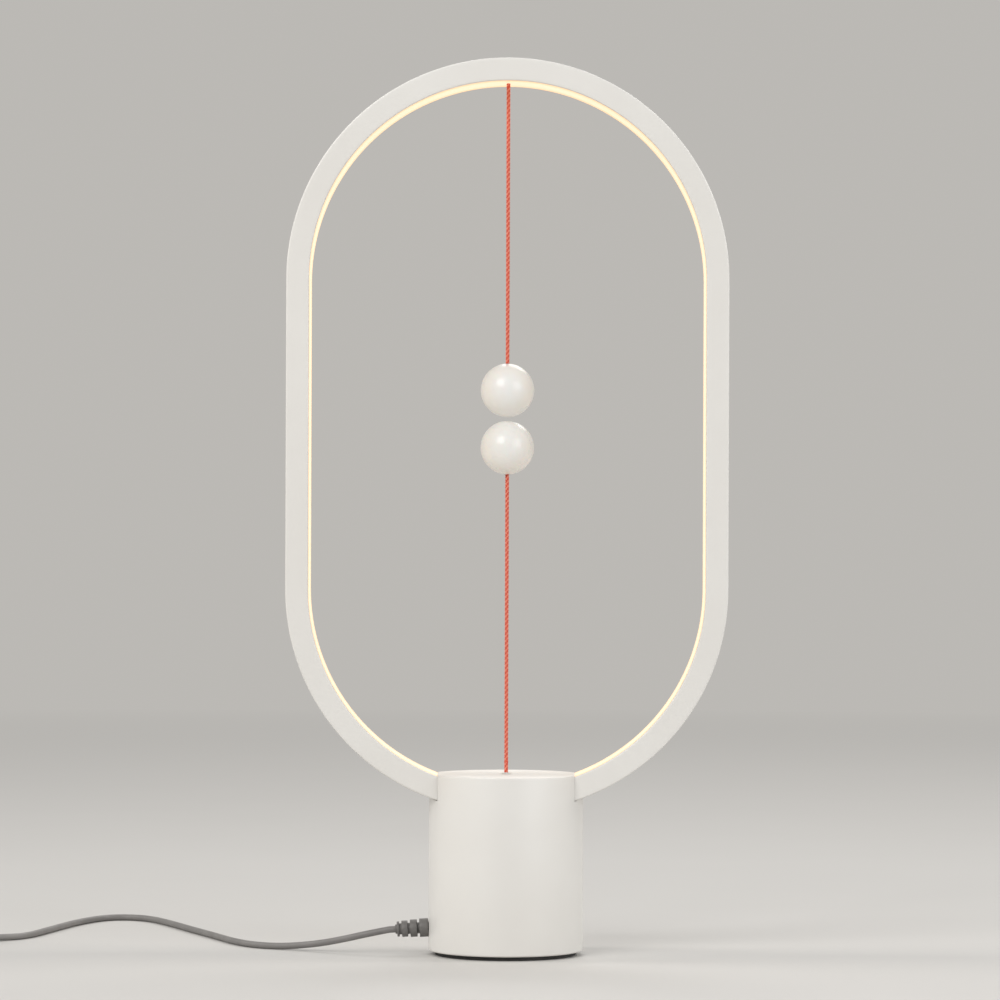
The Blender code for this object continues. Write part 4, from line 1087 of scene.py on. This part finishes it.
# A stopper knot of the same string, drawn tight
def knot(name, height, radius, flatness=1):
    size = (radius - string["knotStrand"]) / 3
    path = []
    for number in range(string["knotSteps"] + 1):
        angle = tau * number / string["knotSteps"]
        x = sin(angle) + 2 * sin(2 * angle)
        y = cos(angle) - 2 * cos(2 * angle)
        path.append((size * x, size * y, height - size * flatness * 2 * sin(3 * angle)))
    return addTube(name, string["knotStrand"], [(0, path)], (stringFinish,), 3)


# The two sides of a joint meet at a small ball, which stays hidden between them.
def pivotBall(name, height):
    clearSelection()
    bpy.ops.mesh.primitive_uv_sphere_add(
        segments=24, ring_count=16, radius=string["pivotRadius"], location=(0, 0, height)
    )
    return endPiece(startPiece(name), stringFinish, string["ballSmoothDegrees"])


# side is +1 where the string goes on upwards from the joint
def swivelBend(name, height, side):
    ends = sorted((height + side * string["pivotGap"], height + side * string["bendReach"]))
    return joinUnder(braid(name, *ends), pivotBall(f"{name}Ball", height))


upperPivot, lowPivot, highPivot = string["upperPivot"], string["lowPivot"], string["highPivot"]
bend, half, gap = string["bendReach"], string["halfBend"], string["pivotGap"]
stringRuns = (
    ("upperString", string["upperEnd"], upperPivot - bend, "upper_ball_end", "upper_string"),
    ("lowerStringTail", string["tailEnd"], lowPivot - gap, "plunger", "lower_string_tail"),
    ("lowerStringLow", lowPivot + bend, highPivot - half, "lower_string_run", "lower_string_low"),
    ("lowerStringHigh", highPivot + half, string["lowerEnd"], "lower_ball_end", "lower_string_high"),
)
for name, low, high, body, node in stringRuns:
    joinBody(braid(name, low, high), body, "string", node)
highZone = (highPivot - half, highPivot + half)
upperBend = swivelBend("upperStringBend", upperPivot, -1)
lowBend = swivelBend("lowerStringLowBend", lowPivot, 1)
highBend = braid("lowerStringHighBend", *highZone)
stringBends = (
    (upperBend, "upper_string_bend", "upper_string_head", "upper_ball_end"),
    (lowBend, "lower_string_low_bend", "lower_string_foot", "lower_string_run"),
    (highBend, "lower_string_high_bend", "lower_string_run", "lower_ball_end"),
)
bendZones = ((upperPivot, upperPivot - bend), (lowPivot, lowPivot + bend), highZone)
for (piece, node, nearBody, farBody), (near, far) in zip(stringBends, bendZones):
    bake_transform(piece)
    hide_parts(node)
anchorBraid = braid("upperStringAnchor", upperPivot + gap, string["anchorHeight"])
anchorKnot = knot("anchorKnot", string["anchorHeight"], string["anchorRadius"], string["anchorFlatness"])
joinBody(joinUnder(anchorBraid, anchorKnot), "base", "string", "upper_string_anchor")
knots = (
    ("plungerKnot", 0.0622, "plunger", "plunger_knot"),
    ("upperBallKnot", 0.2532, "upper_ball_end", "upper_ball_knot"),
    ("lowerBallKnot", 0.2261, "lower_ball_end", "lower_ball_knot"),
)
for name, height, body, node in knots:
    joinBody(knot(name, height, string["knotRadius"]), body, "string", node)
print("strings made")

# strain relief, grown rib by rib out of its flange inside the base

relief = {
    "sides": 64,
    "flange": 0.0015,
    "neck": 0.0029,
    "core": 0.0025,
    "start": 0.0001,
    "ribs": ((0.00415, 0.0039), (0.0039, 0.0031), (0.00365, 0.0027), (0.0034, 0.0010)),
    "ribGap": 0.0011,
    "collar": (0.0021, 0.0008),  # over the cord's first bit
    "edge": 0.0002,
    "sharpDegrees": 50,
}


def strainRelief():
    low = relief["start"] - relief["neck"] - relief["flange"]
    wide = relief["ribs"][0][0]
    piece = roundRod("strainRelief", wide, low, low + relief["flange"], relief["sides"])
    selectHeight(piece, "FACE", low + relief["flange"])
    moves = [(relief["core"], relief["neck"])]
    for number, (radius, length) in enumerate(relief["ribs"]):
        moves.append((radius, length))
        if number < len(relief["ribs"]) - 1:
            moves.append((relief["core"], relief["ribGap"]))
    moves.append(relief["collar"])
    radius, height = wide, low + relief["flange"]
    for nextRadius, length in moves:
        extrude()
        share = nextRadius / radius
        resize((share, share, 1), (0, 0, height))
        extrude((0, 0, length))
        radius, height = nextRadius, height + length
    roundSharpEdges(piece, relief["edge"], 3, relief["sharpDegrees"])
    endPiece(piece, shadedReliefFinish)
    return onRelief(piece)


joinBody(strainRelief(), "base", "cord", "strain_relief")
print("strain relief made")

# plug, modelled along +X and then laid at the cord's end

plug = {
    "middle": (-0.302284, 0.072696, 0.0041),
    "turnDegrees": 96.69,
    "length": 0.024,
    "width": 0.0125,
    "height": 0.0082,
    "shoulder": -0.0065,
    "neck": -0.0098,
    "neckShare": 0.56,
    "corner": 0.0019,
    "grooves": (-0.0036, -0.0018, 0.0, 0.0018, 0.0036),
    "grooveHalf": 0.0004,
    "grooveDepth": 0.0004,
    "edge": 0.0003,
    "sharpDegrees": 24,
    "shellMiddle": 0.01855,
    "shellSize": (0.0125, 0.012, 0.0045),
    "shellCorner": 0.0007,
    "shellWall": 0.0004,
    "windowX": 0.0205,
    "windowY": 0.0029,
    "windowSize": (0.0024, 0.0022, 0.002),
    "tongueMiddle": (0.0168, 0, 0.00065),
    "tongueSize": (0.009, 0.0104, 0.0018),
    "tongueEdge": 0.00025,
    "contactLength": 0.0066,
    "contactX": 0.0172,
    "contactWidth": 0.001,
    "contactHeight": 0.00016,
    "contactPlaces": (-0.0035, -0.001, 0.001, 0.0035),
}
goldLook = {**steelLook, "colour": (0.83, 0.60, 0.24), "shade": (0.75, 0.52, 0.2), "roughness": (0.2, 0.32)}
goldFinish = metalFinish("goldContact", goldLook)


def startBlock(name, size, place=(0, 0, 0)):
    clearSelection()
    bpy.ops.mesh.primitive_cube_add(size=1, location=place)
    bpy.context.object.scale = size
    return startPiece(name)


# Rounds the edges that run along X, where the block's sides meet.
def roundLongEdges(piece, size, place, radius, steps):
    def isLong(middle):
        away = [abs(value - centre) for value, centre in zip(middle, place)]
        return away[0] < size[0] / 4 and meets(away[1], size[1] / 2) and meets(away[2], size[2] / 2)

    selectParts(piece, "EDGE", isLong)
    roundEdges(radius, steps)


def layPlug(piece):
    piece.location = plug["middle"]
    piece.rotation_euler = (0, 0, radians(plug["turnDegrees"]))
    return settle(piece)


def plugBody():
    front = plug["length"] / 2
    size = (front - plug["shoulder"], plug["width"], plug["height"])
    place = ((front + plug["shoulder"]) / 2, 0, 0)
    piece = startBlock("usbPlugBody", size, place)
    roundLongEdges(piece, size, place, plug["corner"], 5)
    selectParts(piece, "FACE", lambda middle: meets(middle.x, plug["shoulder"]))
    reach = plug["shoulder"]
    for end, share in ((plug["neck"], plug["neckShare"]), (-front, 1)):
        extrude((end - reach, 0, 0))
        resize((1, share, share), (end, 0, 0))
        reach = end
    share = 1 - 2 * plug["grooveDepth"] / plug["height"]
    for groove in plug["grooves"]:
        for end in (groove - plug["grooveHalf"], groove + plug["grooveHalf"]):
            selectAll()
            bpy.ops.mesh.bisect(plane_co=(end, 0, 0), plane_no=(1, 0, 0))
        selectParts(piece, "FACE", lambda middle: abs(middle.x - groove) < plug["grooveHalf"] / 2)
        extrude()
        resize((1, share, share), (groove, 0, 0))
    roundSharpEdges(piece, plug["edge"], 3, plug["sharpDegrees"])
    return layPlug(endPiece(piece, cordFinish))


def plugShell():
    size = plug["shellSize"]
    place = (plug["shellMiddle"], 0, 0)
    piece = startBlock("usbPlugShell", size, place)
    roundLongEdges(piece, size, place, plug["shellCorner"], 4)
    selectParts(piece, "FACE", lambda middle: meets(abs(middle.x - place[0]), size[0] / 2))
    bpy.ops.mesh.delete(type="FACE")
    applyModifier(piece, "SOLIDIFY", thickness=plug["shellWall"], offset=-1)
    windows = []
    for side in (-1, 1):
        for face in (-1, 1):
            windowPlace = (plug["windowX"], side * plug["windowY"], face * size[2] / 2)
            windows.append(startBlock("window", plug["windowSize"], windowPlace))
    cutAway(piece, *windows)
    return layPlug(endPiece(piece, steelFinish))


def plugTongue():
    piece = startBlock("usbPlugTongue", plug["tongueSize"], plug["tongueMiddle"])
    selectAll()
    roundEdges(plug["tongueEdge"], 2)
    endPiece(piece, blackFinish)
    low = plug["tongueMiddle"][2] - plug["tongueSize"][2] / 2
    contacts = []
    for place in plug["contactPlaces"]:
        size = (plug["contactLength"], plug["contactWidth"], plug["contactHeight"])
        contact = startBlock("contact", size, (plug["contactX"], place, low))
        roundLongEdges(contact, size, (plug["contactX"], place, low), plug["contactHeight"] / 3, 2)
        contacts.append(endPiece(contact, goldFinish))
    return layPlug(joinUnder(piece, *contacts))


# strap round the coil, with a lapped end on top
tie = {
    "inner": 0.00982,
    "outer": 0.0229,
    "width": 0.006,
    "height": 0.0156,
    "thickness": 0.0006,
    "corner": 0.0017,
    "lapLength": 0.0085,
    "lapShare": 0.96,
    "lapRise": 0.00055,
    "edge": 0.00018,
    "sharpDegrees": 50,
}


def coilTie():
    size = (tie["outer"] - tie["inner"], tie["width"], tie["height"])
    place = ((tie["outer"] + tie["inner"]) / 2, 0, tie["height"] / 2)
    piece = startBlock("coilTie", size, place)
    level = place[2]
    selectParts(piece, "EDGE", lambda middle: meets(middle.y, 0) and meets(abs(middle.z - level), level))
    roundEdges(tie["corner"], 6)
    selectParts(piece, "FACE", lambda middle: meets(abs(middle.y), size[1] / 2))
    bpy.ops.mesh.delete(type="FACE")
    applyModifier(piece, "SOLIDIFY", thickness=tie["thickness"], offset=-1)
    roundSharpEdges(piece, tie["edge"], 2, tie["sharpDegrees"])
    endPiece(piece, tieFinish)
    lapPlace = (tie["inner"] + tie["corner"] + tie["lapLength"] / 2, 0, tie["height"] + tie["lapRise"] / 2)
    lap = startBlock("tieLap", (tie["lapLength"], tie["width"] * tie["lapShare"], tie["lapRise"]), lapPlace)
    selectAll()
    roundEdges(tie["edge"], 2)
    joinUnder(piece, endPiece(lap, tieFinish))
    piece.location = (*cord["coilCentre"], 0)
    piece.rotation_euler = (0, 0, radians(tieLook["turnDegrees"]))
    return settle(piece)


for piece, slotName, node in (
    (coilTie(), "tie", "coil_tie"),
    (plugBody(), "cord", "usb_plug_body"),
    (plugShell(), "steel", "usb_plug_shell"),
    (plugTongue(), "black", "usb_plug_tongue"),
):
    joinBody(piece, "base", slotName, node)
print("plug and tie made")

# cord and wires inside the base

insideCord = {
    "start": -0.0044,  # along the relief's axis, from the base's wall
    "lead": 0.003,
    "socketX": -0.01352,
    "socketZ": 0.02572,
    "step": 0.001,
}
ledWire = {
    "radius": 0.0006,
    "offset": 0.0013,
    "ringRadius": 0.0948,
    "holeX": 0.00806,
    "holeY": 0.0083,
    "stripDepth": 0.002,
    "heights": (0.06265, 0.058, 0.04646, 0.03952),
    "degrees": (18.5, 14, 9),
    "step": 0.0012,
}


def insideCordLine():
    start = reliefPoint(insideCord["start"])
    straight = reliefPoint(insideCord["start"] - insideCord["lead"])
    end = Vector((insideCord["socketX"], 0, insideCord["socketZ"]))
    corner = Vector((straight.x + insideCord["lead"], 0, (straight.z + end.z) / 2))
    lead = insideCord["lead"] / 2
    between = (straight + corner) / 2 + Vector((lead, 0, -lead))
    route = (straight, between, corner, end - Vector((0, 0, 2 * lead)))
    return [start, *smoothRoute(route, insideCord["step"]), end]


def ledWireLine(offset):
    y = ledWire["holeY"] + offset
    depths = (ledWire["stripDepth"] + offset, y, y)
    reaches = (ledWire["ringRadius"], *[ledWire["ringRadius"] - ledWire["radius"]] * 2)
    route = []
    for degrees, reach, depth in zip(ledWire["degrees"], reaches, depths):
        angle = radians(degrees)
        route.append((reach * sin(angle), depth, ring["lowZ"] - reach * cos(angle)))
    for number, height in enumerate(ledWire["heights"]):
        route.append((ledWire["holeX"] + (ledWire["radius"] if number == 0 else 0), y, height))
    return smoothRoute(route, ledWire["step"])


insideLines = (
    ("insideCord", cord["radius"], insideCordLine(), "inner_cord"),
    ("ledWirePositive", ledWire["radius"], ledWireLine(-ledWire["offset"]), "led_wire_positive"),
    ("ledWireNegative", ledWire["radius"], ledWireLine(ledWire["offset"]), "led_wire_negative"),
)
for name, radius, path, node in insideLines:
    joinBody(addTube(name, radius, [(0, path)], (cordFinish,), 4), "base", "cord", node)
print("inside cord and wires made")

# floor, backdrop and lights

studio = {
    "floorReach": 6.0,
    "floorColour": (0.60, 0.585, 0.56),
    "floorRoughness": 0.6,
    "cloudScale": 9,
    "cloudShare": 0.06,
    "backdrop": (0.50, 0.485, 0.46),
    "fade": (0.55, 2.6),
    "worldLight": (0.95, 0.97, 1.0),
    "worldStrength": 0.35,
}
# name: place, size, power, colour, and the point it faces
lamps = {
    "keyLamp": ((-1.1, -1.7, 1.5), (1.2, 1.2), 27.5, (1.0, 0.985, 0.965), (0, 0, 0.15)),
    "fillLamp": ((1.5, -1.5, 0.9), (1.2, 1.2), 12.5, (0.95, 0.97, 1.0), (0, 0, 0.18)),
    "leftStrip": ((-1.6, 0.12, 1.2), (0.5, 1.3), 11, (1.0, 0.98, 0.95), (0, 0, 0.2)),
    "rightStrip": ((1.6, 0.12, 1.2), (0.5, 1.3), 11, (1.0, 0.98, 0.95), (0, 0, 0.2)),
    "backLamp": ((0.4, 1.7, 1.6), (1.4, 0.9), 12, (1.0, 0.98, 0.96), (0, 0, 0.1)),
}


def seenDirectly(tree):
    path = addNode(tree, "LightPath")
    total = path.outputs["Is Camera Ray"]
    for name in ("Is Glossy Ray", "Is Transmission Ray"):
        total = calculate(tree, "MAXIMUM", total, path.outputs[name])
    return total


def makeWorld():
    world = bpy.data.worlds.new("studio")
    world.use_nodes = True
    scene.world = world
    tree = world.node_tree
    light = tree.nodes["Background"]
    light.inputs["Color"].default_value = (*studio["worldLight"], 1)
    light.inputs["Strength"].default_value = studio["worldStrength"]
    shown = addNode(tree, "Background", Color=(*studio["backdrop"], 1), Strength=1.0)
    backgrounds = (light.outputs["Background"], shown.outputs["Background"])
    mixShaders(tree, "World Output", seenDirectly(tree), *backgrounds)


# Near the lamp the floor is plain and pale and keeps the shadow.
# Further out it fades into the backdrop's colour.
def floorFinish():
    material, tree, shader = newFinish("paleFloor", Roughness=studio["floorRoughness"])
    place = objectPlace(tree)
    clouds = spread(tree, noise(tree, place, studio["cloudScale"]), wideSpan, (0, studio["cloudShare"]))
    colourFrom(tree, shader, clouds, studio["floorColour"], studio["backdrop"])
    length = calculate(tree, "LENGTH", place, kind="VectorMath")
    faded = spread(tree, length, studio["fade"])
    share = calculate(tree, "MULTIPLY", faded, seenDirectly(tree))
    glow = addNode(tree, "Emission", Color=(*studio["backdrop"], 1), Strength=1.0)
    mixShaders(tree, "Material Output", share, shader.outputs["BSDF"], glow.outputs["Emission"])
    return material


clearSelection()
bpy.ops.mesh.primitive_plane_add(size=2 * studio["floorReach"], location=(0, 0, 0))
floor = bpy.context.object
floor.name = "floor"
floor.data.materials.append(floorFinish())
makeWorld()
for name, (place, size, power, colour, target) in lamps.items():
    clearSelection()
    aim = (Vector(target) - Vector(place)).to_track_quat("-Z", "Y").to_euler()
    bpy.ops.object.light_add(type="AREA", location=place, rotation=aim)
    lamp = bpy.context.object
    lamp.name = name
    lamp.data.shape = "RECTANGLE"
    lamp.data.size, lamp.data.size_y = size
    lamp.data.energy = power
    lamp.data.color = colour
print("studio set")
